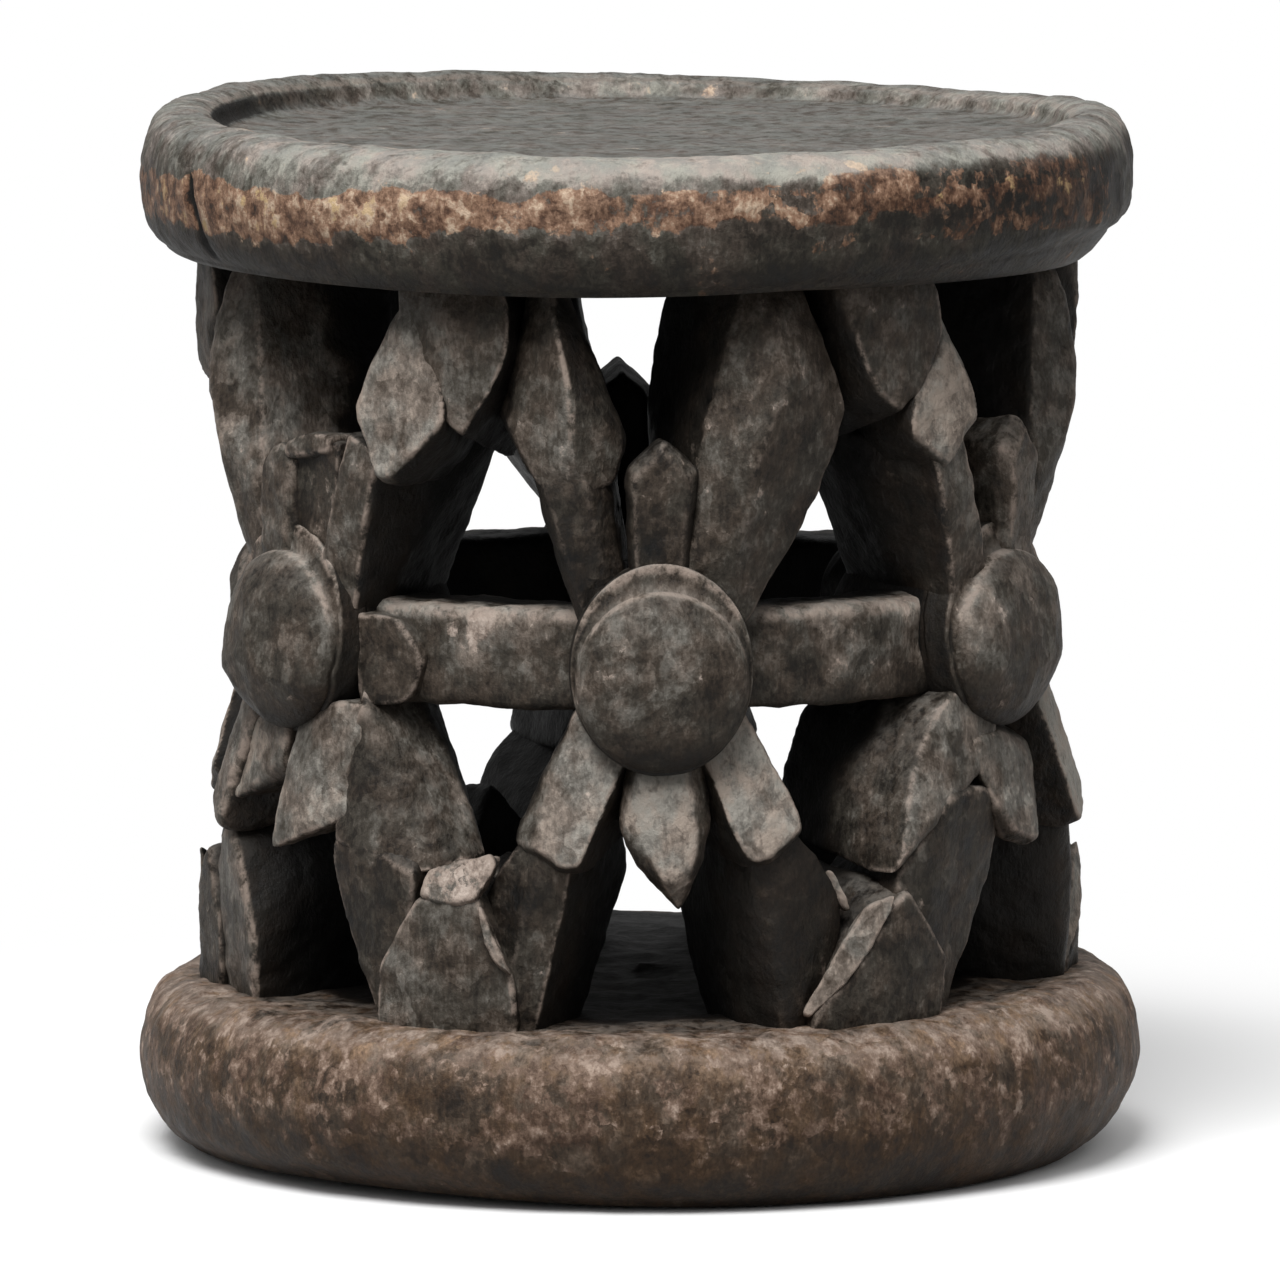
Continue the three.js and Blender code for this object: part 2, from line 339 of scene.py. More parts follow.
def ramp(tree, level, stops):
    """Turns a level into a colour by straight lines between colours at even steps from 0 to 1."""
    made = node(tree, "ValToRGB", {0: level})
    steps = made.color_ramp.elements
    while len(steps) < len(stops):
        steps.new(1)
    for index, colour in enumerate(stops):
        steps[index].position = index / (len(stops) - 1)
        steps[index].color = (*colour, 1)
    return made.outputs[0]


def swung(tree, level, *swings):
    """Moves a level up and down by each noise about its middle, times the amount that comes with it."""
    for noise, amount in swings:
        inputs = {0: maths(tree, "SUBTRACT", noise, 0.5), 1: amount, 2: level}
        level = node(tree, "Math", inputs, operation="MULTIPLY_ADD").outputs[0]
    return level


def dabs(tree, place, scales, ragged):
    """Flat patches that each have their own share from 0 to 1, with edges that noise makes ragged."""
    noise = node(tree, "TexNoise", {"Vector": place, "Scale": 150.0, "Detail": 4.0}).outputs["Color"]
    bent = node(tree, "VectorMath", {0: noise, 1: (ragged, ragged, ragged), 2: place},
                operation="MULTIPLY_ADD").outputs[0]
    stretched = node(tree, "VectorMath", {0: bent, 1: scales}, operation="MULTIPLY").outputs[0]
    cells = node(tree, "TexVoronoi", {"Vector": stretched, "Scale": 1.0}).outputs["Color"]
    return node(tree, "SeparateColor", {0: cells}).outputs[0]


def patina(name, bare, golden, dust, dust_amount, tints, streaks, dab_scales):
    """Oiled and smoked wood, whose stored tones also carry painted light and shade: a ramp of tones whose
    hue drifts between two tints, bare wood with a share of golden flecks where it is worn, and dust on what
    faces up. Streaks and dabs have their own scales."""
    made, tree, output = new_material(name)
    place = node(tree, "TexCoord").outputs["Object"]
    clouds = speckle(tree, place, (44, 44, 36), 5.0, 0.62)
    mottle = speckle(tree, place, (150, 150, 125), 6.0, 0.70, shift=3.1)
    pores = speckle(tree, place, (620, 620, 340), 3.0, 0.6, shift=5.2)
    fibres = speckle(tree, place, (460, 460, 34), 4.0, 0.6, shift=7.7)
    hue = speckle(tree, place, (70, 70, 55), 4.0, 0.6, shift=21.0)
    chips = speckle(tree, place, (110, 110, 120), 3.0, 0.5, shift=12.3)
    marks = speckle(tree, place, streaks, 4.0, 0.6, shift=2.2)
    large_dabs = dabs(tree, place, dab_scales, 0.012)
    small_dabs = dabs(tree, place, tuple(SMALL_DAB_SHARE * scale for scale in dab_scales), 0.006)
    edge, tone, wear, calm = (attribute(tree, key) for key in ("edge", "tone", "wear", "calm"))

    blotches = swung(tree, 0.0, (clouds, 0.62), (mottle, 0.90), (pores, 0.50), (fibres, -0.22),
                     (large_dabs, 0.17), (small_dabs, 0.14))
    blotches = swung(tree, times(tree, blotches, maths(tree, "SUBTRACT", 1.0, calm)), (marks, 0.45))
    blotches = times(tree, blotches, between(tree, tone, 0.0, 0.35))
    colour = ramp(tree, maths(tree, "ADD", tone, blotches), SOOT_AND_SHADE_TO_PALE_AND_LIT)
    tint = mixed(tree, between(tree, hue, 0.38, 0.62), *tints)
    colour = mixed(tree, 1.0, colour, tint, "MULTIPLY")

    bare_level = swung(tree, times(tree, tone, 0.75), (mottle, 2.3), (pores, 0.6), (chips, 1.0),
                       (small_dabs, 0.28))
    flecks = all_between(tree, (chips, 0.57, 0.64), (mottle, 0.47, 0.56), (wear, 0.76, 0.95))
    bare_colour = mixed(tree, times(tree, flecks, golden), ramp(tree, bare_level, bare), GOLDEN_WOOD)
    ragged = swung(tree, wear, (clouds, 1.6), (mottle, 1.8), (small_dabs, 0.35))
    bared = all_between(tree, (ragged, 0.40, 0.64), (tone, 0.12, 0.34))
    colour = mixed(tree, times(tree, bared, 0.92), colour, bare_colour)

    # A pale line along edges: partly rubbed wear, partly a painted highlight, as the backs' lit rims store
    # it.
    rubbed_and_highlit = all_between(tree, (edge, 0.12, 0.60), (mottle, 0.42, 0.60), (tone, 0.15, 0.50))
    colour = mixed(tree, times(tree, rubbed_and_highlit, 0.75), colour, (*bare[2], 1))
    up = node(tree, "SeparateXYZ", {0: node(tree, "NewGeometry").outputs["Normal"]}).outputs["Z"]
    settled = all_between(tree, (up, 0.25, 1.0), (mottle, 0.38, 0.60), (tone, 0.06, 0.30))
    colour = mixed(tree, times(tree, settled, dust_amount), colour, dust)

    rough = node(tree, "MapRange", {"Value": mottle, "To Min": 0.38, "To Max": 0.80}).outputs[0]
    relief = maths(tree, "ADD", times(tree, mottle, 0.7), times(tree, pores, 0.25))
    relief = swung(tree, relief, (fibres, 0.15), (small_dabs, 0.12))
    bump = node(tree, "Bump", {"Height": relief, "Strength": 0.9, "Distance": 0.0020}).outputs[0]
    wood = node(tree, "BsdfPrincipled", {"Base Color": colour, "Roughness": rough, "Normal": bump})
    wood.inputs["Specular IOR Level"].default_value = GLOSS
    tree.links.new(wood.outputs[0], output.inputs[0])
    return made


BARE_OPENWORK = [(0.040, 0.028, 0.021), (0.14, 0.105, 0.085), (0.34, 0.27, 0.225), (0.52, 0.43, 0.37)]
BARE_SEAT = [(0.014, 0.0076, 0.0050), (0.098, 0.048, 0.028), (0.29, 0.170, 0.108), (0.58, 0.44, 0.32)]
BARE_FOOT = [(0.018, 0.0110, 0.0076), (0.070, 0.040, 0.026), (0.20, 0.134, 0.098), (0.47, 0.36, 0.29)]
openwork_finish = patina("openwork_wood", BARE_OPENWORK, golden=0.0, dust=(0.16, 0.15, 0.135, 1),
                         dust_amount=0.45, tints=((1.09, 0.97, 0.88, 1), (0.99, 1.0, 0.96, 1)),
                         streaks=(60, 60, 60), dab_scales=(85, 85, 70))
seat_finish = patina("seat_wood", BARE_SEAT, golden=0.9, dust=(0.156, 0.163, 0.156, 1),
                     dust_amount=0.55, tints=((1.07, 0.98, 0.93, 1), (0.96, 1.01, 0.95, 1)),
                     streaks=(12, 330, 12), dab_scales=(60, 110, 90))
foot_finish = patina("foot_wood", BARE_FOOT, golden=0.0, dust=(0.16, 0.140, 0.122, 1),
                     dust_amount=0.5, tints=((1.33, 0.93, 0.64, 1), (1.17, 0.96, 0.80, 1)),
                     streaks=(60, 60, 60), dab_scales=(85, 85, 85))
print("finishes:", openwork_finish.name, seat_finish.name, foot_finish.name)

# %% [markdown]
# ## Forms hewn with flat cuts
# A spider's leg, head or knuckle is what is left when flat cuts take the wood away round it. So its shape
# is the smallest convex form round a few corners, and its skin is where the highest of the cutting planes
# stands at nought. A softened highest value rounds the edges as hands do, and also tells how near an edge
# is. Corners are chosen from the photograph, which is easier to read than planes would be.

# %% Hewn forms
EDGE_SOFTNESS = 0.8 * MM
SLIDE_SHARE = 0.62
BLUNT_SHARE = 0.25
ASLANT = (0.3, 0.9, 0.2)
NEWTON_STEPS = 5


def placed(shares, turn):
    """Corners in metres from shares sideways (of half a pitch), up (of half the span) and out (of the
    wall), for the spider that is turned by this angle."""
    side, up, out = shares.T
    angle = side * HALF_PITCH + turn
    radius = INNER_RADIUS + out * OPENWORK_WALL
    return np.column_stack([radius * np.sin(angle), -radius * np.cos(angle), WAIST + up * HALF_SPAN])


def cutting_planes(points):
    """Normals and offsets of the planes through three corners that leave no corner outside."""
    triples = np.array(list(itertools.combinations(range(len(points)), 3)))
    first, second, third = (points[triples[:, i]] for i in range(3))
    normals = np.cross(second - first, third - first)
    lengths = np.linalg.norm(normals, axis=1)
    wide = lengths > (0.5 * MM) ** 2
    normals = normals[wide] / lengths[wide, None]
    offsets = (normals * first[wide]).sum(1)
    heights = points @ normals.T - offsets
    near = 0.01 * MM
    outer, inner = heights.max(0) < near, heights.min(0) > -near
    normals = np.vstack([normals[outer], -normals[inner]])
    offsets = np.concatenate([offsets[outer], -offsets[inner]])
    _, kept = np.unique(np.round(np.column_stack([normals, offsets / OPENWORK_WALL]), 3), axis=0,
                        return_index=True)
    return normals[kept], offsets[kept]


def skin_reach(starts, rays, normals, offsets, softness):
    """How far each ray runs to the skin, by Newton's steps on softness * log(sum(exp(height / softness))),
    and the share that each plane has there."""
    speed = rays @ normals.T
    room = offsets - starts @ normals.T
    travel = np.where(speed > 1e-6, room / np.maximum(speed, 1e-6), np.inf).min(1)
    for _ in range(NEWTON_STEPS):
        heights = travel[:, None] * speed - room
        top = heights.max(1, keepdims=True)
        weights = np.exp((heights - top) / softness)
        total = weights.sum(1, keepdims=True)
        weights = weights / total
        level = top[:, 0] + softness * np.log(total[:, 0])
        travel = travel - level / (weights * speed).sum(1)
    return travel, weights


def tone_here(points, outward, form, ragged):
    """The tone of a cut: the face tone where it looks out of the wall, the darker side tone, a painted
    shade, where it looks along the wall, and painted shade with sooty black deep inside and wherever it
    looks inwards."""
    away = np.linalg.norm(points[..., :2], axis=-1)
    facing = (outward[..., :2] * points[..., :2]).sum(-1) / away
    depth = (OPENWORK_RADIUS - away) / OPENWORK_WALL + ragged
    tone = form["side"] + (form["face"] - form["side"]) * smooth_step(facing, *form["turned"])
    # Painted shade: darker deep in the wall and on cuts that look inwards.
    return tone * (1 - 0.97 * smooth_step(depth, *form["shade_and_soot"])) * smooth_step(facing, *form["inward"])


def hewn(form, turn, seed, rings, columns, softness=EDGE_SOFTNESS):
    """A hewn form's skin. Rays start from a point that slides along the form's long axis as the cosine of
    an angle, and lean by that angle, so that they spread evenly over both ends. ASLANT only has to point
    away from every form's axis."""
    corners = placed(form["shares"], turn)
    normals, offsets = cutting_planes(corners)
    middle = corners.mean(0)
    axis = np.linalg.svd(corners - middle)[2][0]
    ahead, behind = (skin_reach(middle[None], way[None], normals, offsets, softness)[0][0]
                     for way in (axis, -axis))
    across = np.cross(axis, ASLANT)
    across = across / np.linalg.norm(across)
    third = np.cross(axis, across)
    lean = np.linspace(0, math.pi, rings)[:, None]
    sweep = once_round(columns)
    slide = np.where(np.cos(lean) > 0, ahead, behind) * SLIDE_SHARE * np.cos(lean) + 0 * sweep
    around = np.cos(sweep)[..., None] * across + np.sin(sweep)[..., None] * third
    rays = np.cos(lean)[..., None] * axis + np.sin(lean)[..., None] * around
    starts = middle + slide[..., None] * axis
    travel, weights = skin_reach(starts.reshape(-1, 3), rays.reshape(-1, 3), normals, offsets, softness)
    outward = weights @ normals
    sharp = np.linalg.norm(outward, axis=1)
    outward = outward / sharp[:, None]
    grid = starts.reshape(-1, 3) + travel[:, None] * rays.reshape(-1, 3)
    plane_tones = np.random.default_rng(seed).random(len(normals)) - 0.5
    tone = tone_here(grid, outward, form, 0.10 * soft_noise(grid, 11 * MM, seed + 7))
    tone = tone * (1 + 0.5 * (weights @ plane_tones))
    push = hand_cut(grid, (1.2, 15, seed), (0.5, 6.5, seed + 5), (0.22, 2.6, seed + 11))
    grid = (grid + push[:, None] * outward).reshape(rings, columns, 3)
    shape = (rings, columns)
    edge = np.clip((1 - sharp) / BLUNT_SHARE, 0, 1).reshape(shape)
    return skin(grid, edge=edge, tone=tone.reshape(shape), wear=np.full(shape, form["wear"]))


# %% [markdown]
# ## Corners of a spider
# Each table lists the corners of one hewn form in hundredths: sideways from the spider's middle line
# towards the half way line, up or down from the waist, and outwards through the wall. Forms run a little
# way into their neighbours, the seat and the foot, because the real ones are one wood. The proud outer
# corners come first, the hidden inner ones last. A cut then gives the tones of the form's faces and sides,
# partly rubbed wear and partly painted light, paler where the light falls and darker on the sides as
# painted shade, and the depths at which painted shade and sooty black begin.

# %% Corners that all spiders share
# How far a cut may look inwards before it is darkened as painted shade.
SEEN_INWARD = (-0.75, -0.25)
HIDDEN_INWARD = (-0.2, 0.2)


def cut(corners, face, side, wear=0.0, turned=(0.35, 0.80), shade_and_soot=(0.30, 0.62)):
    """One hewn form: its corners in hundredths, the tones of its faces, partly rubbed and partly painted
    light, and of its sides, darker as painted shade, how far it is worn bare, how much a cut must look
    outwards to count as a face, and the depths at which painted shade with sooty black begins and is full. A
    cut that looks inwards is darkened too, a painted shade, by its last pair."""
    return {"shares": np.array(corners) / 100, "face": face, "side": side, "wear": wear,
            "turned": turned, "shade_and_soot": shade_and_soot, "inward": SEEN_INWARD}


def mirrored(form):
    """The same form on the spider's other side."""
    return {**form, "shares": form["shares"] * (-1, 1, 1)}


def half_way(form):
    """A form given from the line half way to the next spider, moved there."""
    return {**form, "shares": form["shares"] + (1, 0, 0)}


def moved(form, sideways=0.0, outwards=0.0, waisted=0.0, pinched=0.0):
    """The same form moved sideways and, its outer corners only, outwards. Near the waist it can also be
    drawn in and moved sideways."""
    side, up, out = form["shares"].T
    near_waist = np.clip((0.48 - np.abs(up)) / 0.2, 0, 1)
    out = out + (outwards - waisted * near_waist) * (out > 0.7)
    return {**form, "shares": np.column_stack([side + sideways + pinched * near_waist, up, out])}


HEAD_CORNERS = [
    [1, 61.5, 92], [-17, 53.5, 92], [18, 53, 92], [0, 57.5, 99], [-12, 51, 100], [12, 51, 100],
    [-12, 20, 97], [8, 20, 97], [-17, 40, 90], [-16, 20, 88], [15, 42, 88], [13, 20, 86], [-14, 20, 50],
    [14, 20, 50], [-15, 52, 50], [15, 52, 50], [0, 60, 50],
]
TAIL_ROOT = [[-17, -18, 50], [17, -18, 50], [-15, -44, 50], [15, -44, 50]]
TAIL_CORNERS = [
    [-8, -22, 97], [11, -22, 97], [-5, -49, 105], [-1, -54.5, 106.5], [14, -50, 106.5], [13.5, -42, 105],
    [-13, -20, 88], [-20, -42, 93], [-13, -51.5, 93], [18, -20, 88], [23, -38, 93], [21, -46, 94],
    [18, -53, 93], [8, -66, 91], *TAIL_ROOT, [4, -57, 60],
]
LEFT_KNEE_CORNERS = [
    [-49, 95, 93], [-70, 64, 87], [-60, 51, 89], [-55, 48, 95], [-43, 87, 102], [-38, 71, 106],
    [-37, 60, 105], [-49, 97, 90], [-34, 80, 87], [-22, 71, 85], [-14, 61, 84], [-20, 49, 87],
    [-31, 46, 95], [-60, 106, 74], [-49, 106, 78], [-86, 66, 55], [-66, 46, 0], [-84, 62, 0],
    [-27, 58, 0], [-74, 106, 0], [-26, 46, 20],
]
LEFT_SHANK_CORNERS = [
    [-60, 53, 86], [-53, 36, 86], [-47, 27, 86], [-36, 6, 80], [-53, 50, 95], [-46, 36, 98],
    [-40, 26, 96], [-32, 6, 88], [-33, 52, 99], [-30, 42, 98], [-26, 28, 95], [-12, 6, 85], [-21, 47, 84],
    [-20, 28, 84], [-64, 48, 10], [-26, 50, 10], [-30, 8, 0], [-6, 6, 0],
]
RIGHT_LEG_CORNERS = [
    [33, 94, 84], [27, 79, 85], [24, 71, 86], [17, 62, 88], [15, 56, 90], [18, 45, 97], [50, 92, 98],
    [54, 84, 101], [53, 72, 105], [42, 59, 106], [66, 92, 88], [80, 82, 86], [90, 68, 82], [86, 61, 82],
    [82, 52, 83], [68, 36, 81], [54, 27, 81], [36, 8, 84], [34, 34, 100], [10, 22, 92], [4, 6, 86],
    [40, 106, 76], [62, 106, 80], [8, 6, 0], [26, 8, 0], [24, 58, 0], [66, 46, 0], [84, 62, 0],
    [52, 106, 0], [78, 106, 0],
]
LEFT_TONGUE_CORNERS = [
    [-36, -8, 86], [-12, -16, 88], [-43, -14, 86], [-56, -32, 90], [-67, -46, 91], [-50, -36, 100],
    [-53.5, -45, 103], [-48, -50, 105.5], [-41, -52.5, 106.5], [-34, -52, 106.5], [-30, -47, 106],
    [-23, -36, 102], [-15, -26, 95], [-45, -55, 93], [-33, -55, 93], [-62, -50, 88], [-12, -28, 60],
    [-8, -6, 0], [-30, -8, 0], [-16, -48, 30], [-52, -46, 30],
]
LEFT_SHIN_CORNERS = [
    [-56, -42, 93], [-36, -46, 93], [-38, -54, 95.5], [-45, -66, 93], [-50, -75, 90.5], [-56, -88, 88],
    [-60, -106, 85], [-70, -50, 90], [-84, -64, 84], [-90, -106, 84], [-52, -55, 98.5], [-62, -70, 97],
    [-76, -106, 91], [-26, -52, 40], [-38, -78, 40], [-50, -106, 30], [-20, -46, 10], [-15, -57, 10],
    [-80, -68, 0], [-88, -106, 0],
]
RIGHT_TONGUE_CORNERS = [
    [19, -24, 92], [12, -14, 88], [33, -6, 86], [37, -12, 88], [52, -29, 94], [62, -39, 98],
    [63, -42, 100], [54, -46, 104.5], [45.5, -50.5, 106.5], [39, -51, 106.5], [31, -46, 105.5],
    [25, -37, 102], [36, -54, 93], [50, -53, 92], [63, -46, 90], [12, -28, 60], [8, -6, 0], [30, -8, 0],
    [16, -48, 30], [52, -46, 30],
]
RIGHT_SHIN_CORNERS = [
    [58, -42, 92], [73, -51, 90], [85, -64, 88], [86, -68, 87.5], [77, -82, 86], [70, -106, 85],
    [36, -46, 93], [44, -50, 96], [50, -64, 98.5], [60, -84, 95], [56, -106, 90], [36, -58, 80],
    [42, -106, 60], [20, -46, 10], [16, -70, 10], [44, -106, 0], [88, -106, 0], [80, -68, 0],
]
UPPER_KNUCKLE_BACK = [[-28, 106, 0], [28, 106, 0], [-24, 66, 0], [24, 66, 0], [0, 50, 8]]
UPPER_KNUCKLE_CORNERS = [
    [-15, 106, 98], [-6, 100, 100], [27, 106, 96], [36, 92, 94], [37, 84, 94], [29, 78, 96], [25, 72, 96],
    [13, 65.5, 95], [1, 70, 98], [-8, 77, 99.5], [-15, 87, 99.5], [-26, 106, 88], [-22, 94, 89],
    [-15, 80, 88], [-5, 68, 80], [13, 64, 84], *UPPER_KNUCKLE_BACK,
]
LOWER_KNUCKLE_BACK = [[-30, -106, 0], [30, -106, 0], [-24, -66, 0], [24, -66, 0], [0, -54, 8]]
LOWER_KNUCKLE_CORNERS = [
    [5, -63, 103], [13, -60, 98], [21, -67, 102], [37, -80, 98], [36, -90, 98], [28, -106, 98],
    [-17, -83, 104], [-34, -93, 98], [-36, -106, 96], [5, -90, 106], [0, -106, 103], [-6, -65, 90],
    *LOWER_KNUCKLE_BACK,
]
KNUCKLE_BAND_CORNERS = [
    [-38, -91, 95], [-11, -64, 102], [6, -60.5, 105], [3, -65, 106.5], [-17, -83, 105.5], [-31, -91, 100],
    [-34, -94, 98], [-5, -66, 85], [-36, -95, 85], [-15, -85, 85],
]
RIGHT_LEG = cut(RIGHT_LEG_CORNERS, 0.47, 0.20)
UPPER_KNUCKLE = half_way(cut(UPPER_KNUCKLE_CORNERS, 0.50, 0.14, shade_and_soot=(0.15, 0.50)))
LOWER_KNUCKLE = [half_way(cut(LOWER_KNUCKLE_CORNERS, 0.38, 0.26)),
                 half_way(cut(KNUCKLE_BAND_CORNERS, 0.80, 0.76))]
SHARED_FORMS = {
    "head": [cut(HEAD_CORNERS, 0.31, 0.16)],
    "tail": [cut(TAIL_CORNERS, 1.0, 0.34, turned=(0.62, 0.92))],
    "upper_left_leg": [cut(LEFT_KNEE_CORNERS, 0.60, 0.24, turned=(0.55, 0.95)),
                       cut(LEFT_SHANK_CORNERS, 0.28, 0.18)],
    "upper_right_leg": [RIGHT_LEG],
    "lower_left_leg": [cut(LEFT_TONGUE_CORNERS, 0.86, 0.20, turned=(0.5, 0.9)),
                       cut(LEFT_SHIN_CORNERS, 0.40, 0.14)],
    "lower_right_leg": [cut(RIGHT_TONGUE_CORNERS, 0.95, 0.22, turned=(0.5, 0.9)),
                        cut(RIGHT_SHIN_CORNERS, 0.19, 0.10)],
    "upper_knuckle": [UPPER_KNUCKLE],
    "lower_knuckle": LOWER_KNUCKLE,
}
print("members of a spider with corners:", len(SHARED_FORMS))

# %% [markdown]
# ## What three neighbours have of their own
# The carver cut each spider by eye, so no two are alike. The three that the photograph shows get their own
# corners where they clearly differ: the knee plates beside the knuckles, painted paler as lit facets, the
# web beside the left one's head, the long tongues that sweep towards the knuckles and the bolder stone on
# the left.

# %% Corners of the front, left and right spiders
FRONT_ONE, RIGHT_ONE, REAR_RIGHT_ONE, REAR_ONE, REAR_LEFT_ONE, LEFT_ONE = range(SPIDERS)
LEFT_PLATE_CORNERS = [
    [85, 94, 92], [61, 71, 101], [59, 67, 101], [73, 49.5, 105], [82, 50, 105], [107, 65, 101],
    [100, 74, 99], [73, 46, 93], [82, 46, 93], [104, 60, 90], [80, 106, 72], [87, 106, 80], [56, 64, 55],
    [66, 46, 0], [84, 62, 0], [66, 106, 0], [80, 106, 0],
]
RIGHT_PLATE_CORNERS = [
    [-60, 83, 93], [-65, 74, 95], [-77, 69, 97], [-84, 65, 99], [-86, 61, 100], [-64, 51.5, 101],
    [-45, 63.5, 100], [-44, 67, 100], [-84, 57, 92], [-64, 48, 93], [-45, 61, 90], [-52, 106, 55],
    [-60, 106, 55], [-56, 64, 55], [-66, 46, 0], [-84, 62, 0], [-66, 106, 0], [-80, 106, 0],
]
SIDE_SHANK_CORNERS = [
    [72, 54, 96], [66, 44, 96.5], [60, 28, 93], [50, 6, 87], [50, 60, 94], [38, 34, 95], [20, 6, 86],
    [92, 57, 3], [97, 60, 20], [52, 30, 5], [24, 56, 5], [26, 8, 0], [8, 6, 0],
]
LOW_HEAD_CORNERS = [
    [1, 56, 89], [-16, 50, 89], [16, 52, 90], [0, 53, 94], [-12, 48, 95], [10, 48, 95], [-12, 20, 94],
    [8, 20, 94], [-17, 20, 87], [14, 42, 88], [13, 20, 86], [-14, 20, 50], [14, 20, 50], [-15, 50, 50],
    [15, 50, 50], [0, 54, 50],
]
WEB_CORNERS = [
    [8, 55, 93.5], [24, 59.5, 92], [40, 58.5, 93], [8, 51, 94.5], [40, 54, 94], [24, 55.5, 94.5],
    [10, 55, 50], [40, 58, 50], [12, 48, 60], [40, 48, 60],
]
HOLLOW_CORNERS = [
    [8, 56, 90], [46, 57, 92], [8, 8, 87], [34, 8, 87], [8, 54, 50], [48, 56, 50], [8, 8, 50],
    [34, 8, 50],
]
LEFT_STONE_TOP = [
    [-25, 106, 90], [30, 106, 93], [35, 89, 94], [32, 80, 96], [24, 70, 97], [13, 60.5, 96], [2, 65, 96],
    [-20, 72, 90], [-14, 92, 95], [10, 94, 100], [13, 75, 100], *UPPER_KNUCKLE_BACK,
]
LEFT_STONE_BODY = [
    [-32, -93, 97], [-30, -80, 98], [-19, -70, 98], [-10, -62, 98], [21, -60, 100], [24, -64, 101],
    [37, -84, 98], [38, -95, 96], [5, -73, 104.5], [2, -96, 104.5], [-31, -106, 96], [0, -106, 103],
    [36, -106, 95], *LOWER_KNUCKLE_BACK,
]
LEFT_STONE_CAP = [
    [-9, -62, 98.5], [-5, -54, 97], [12, -50.5, 94], [24, -49, 92], [29, -53, 96], [21, -61, 103.5],
    [6, -63, 102.5], [-5, -56, 60], [20, -52, 60], [10, -70, 80],
]
LEFT_STONE_FLAKE = [
    [21, -60, 103], [25, -64, 104.5], [38, -82, 103], [30, -79, 105.5], [22, -70, 105.5], [20, -62, 90],
    [36, -84, 90], [28, -82, 90],
]
PALE_LIP = [
    [-25, -53.5, 88], [-20, -53.5, 90], [-13, -64, 92], [-10, -66, 90], [-15, -67, 89], [-25, -56, 86],
    [-20, -60, 70], [-10, -68, 70],
]
RAIL_SHOULDER = [
    [50, 11.5, 86], [70, 11.5, 84.5], [80, 5, 80], [84, -1, 77.5], [79, -10, 78.5], [71, -13.5, 82],
    [50, -13.5, 86], [50, 11, 40], [84, 7, 40], [87, 0, 60], [84, -11, 40], [50, -13, 40],
]
LEFT_ONE_TAIL = [
    [-28, -22, 93], [-5, -17, 93], [12, -20, 93], [11, -29, 97], [-26, -43, 102], [-35, -38, 100],
    [-33, -31, 97], [-17, -18, 50], [17, -18, 50], [-15, -40, 50], [12, -34, 50], [-30, -44, 93],
    [8, -36, 88],
]
LEFT_ONE_TONGUE = [
    [20, -16, 92], [46, -12, 92], [59, -12, 89], [60, -40, 95], [46, -45.5, 100], [36, -47.5, 103],
    [32, -45, 104], [8, -55, 104.5], [9, -50, 104.5], [20, -33, 100], [12, -14, 80], [55, -12, 50],
    [60, -42, 50], [14, -52, 90],
]
LEFT_ONE_THIGH = [
    [55, -8, 88], [59, -42, 95.5], [44, -50, 97], [46, -50, 99], [73, -52, 100], [89, -57, 95],
    [102, -55, 80], [112, -53, 60], [75, -44, 45], [62, -23, 40], [54, -6, 40], [14, -8, 0], [8, -6, 0],
    [50, -50, 30], [90, -55, 30],
]
LEFT_ONE_KITE = [
    [44, -51, 100], [74, -52, 102], [92, -57, 100], [90, -64, 96], [78, -75, 94], [70, -91, 92],
    [60, -81, 92.5], [49, -72, 93.5], [45, -64, 95], [78, -62, 100], [74, -106, 88], [68, -106, 86],
    [50, -55, 50], [50, -106, 0], [88, -106, 0], [80, -68, 0], [90, -60, 40], [50, -44, 92],
    [86, -50, 88],
]
LEFT_ONE_SHIN = [
    [-66, -60, 95], [-50, -48, 93], [-29, -60, 97], [-19, -76, 95.5], [-15, -86, 93], [-20, -106, 88],
    [-80, -106, 88], [-86, -64, 86], [-26, -52, 40], [-34, -106, 40], [-20, -46, 10], [-80, -68, 0],
    [-88, -106, 0], [-90, -106, 84],
]
RIGHT_ONE_TAIL = [
    [-46, -24, 91], [-41, -34, 96], [-28, -42, 100], [-21, -50, 104.5], [-5, -53, 104.5], [3, -43, 100],
    [-4, -33, 97], [-23, -22, 93], [12, -28, 90], [12, -50, 94], [-2, -56, 93], [-24, -52, 94],
    *TAIL_ROOT,
]
RIGHT_ONE_TONGUE = [
    [-58, -13, 88], [-57, -18, 90], [-60, -38, 100], [-62, -21, 60], [-90, -27, 50], [-100, -40, 45],
    [-98, -54, 60], [-96, -58, 90], [-97, -58.5, 100], [-94, -55, 104], [-89, -41, 100], [-79, -32, 96.5],
    [-72, -21, 91], [-80, -43, 104], [-36, -6, 86], [-12, -10, 88], [-28, -30, 93], [-12, -28, 60],
    [-8, -6, 0], [-30, -8, 0], [-60, -50, 30], [-85, -17, 0], [-104, -36, 0], [-104, -52, 5],
]
RIGHT_ONE_KITE = [
    [-94, -58.5, 98.5], [-87, -62, 97], [-66, -38.5, 101.5], [-35, -36.5, 97.5], [-22, -47, 94],
    [-23, -56, 91], [-42, -74, 88], [-47, -84, 87], [-71, -61, 101], [-60, -106, 84], [-90, -106, 84],
    [-90, -80, 85], [-30, -52, 40], [-42, -106, 30], [-80, -68, 0], [-88, -106, 0], [-20, -46, 10],
    [-88, -50, 90], [-62, -33, 90],
]
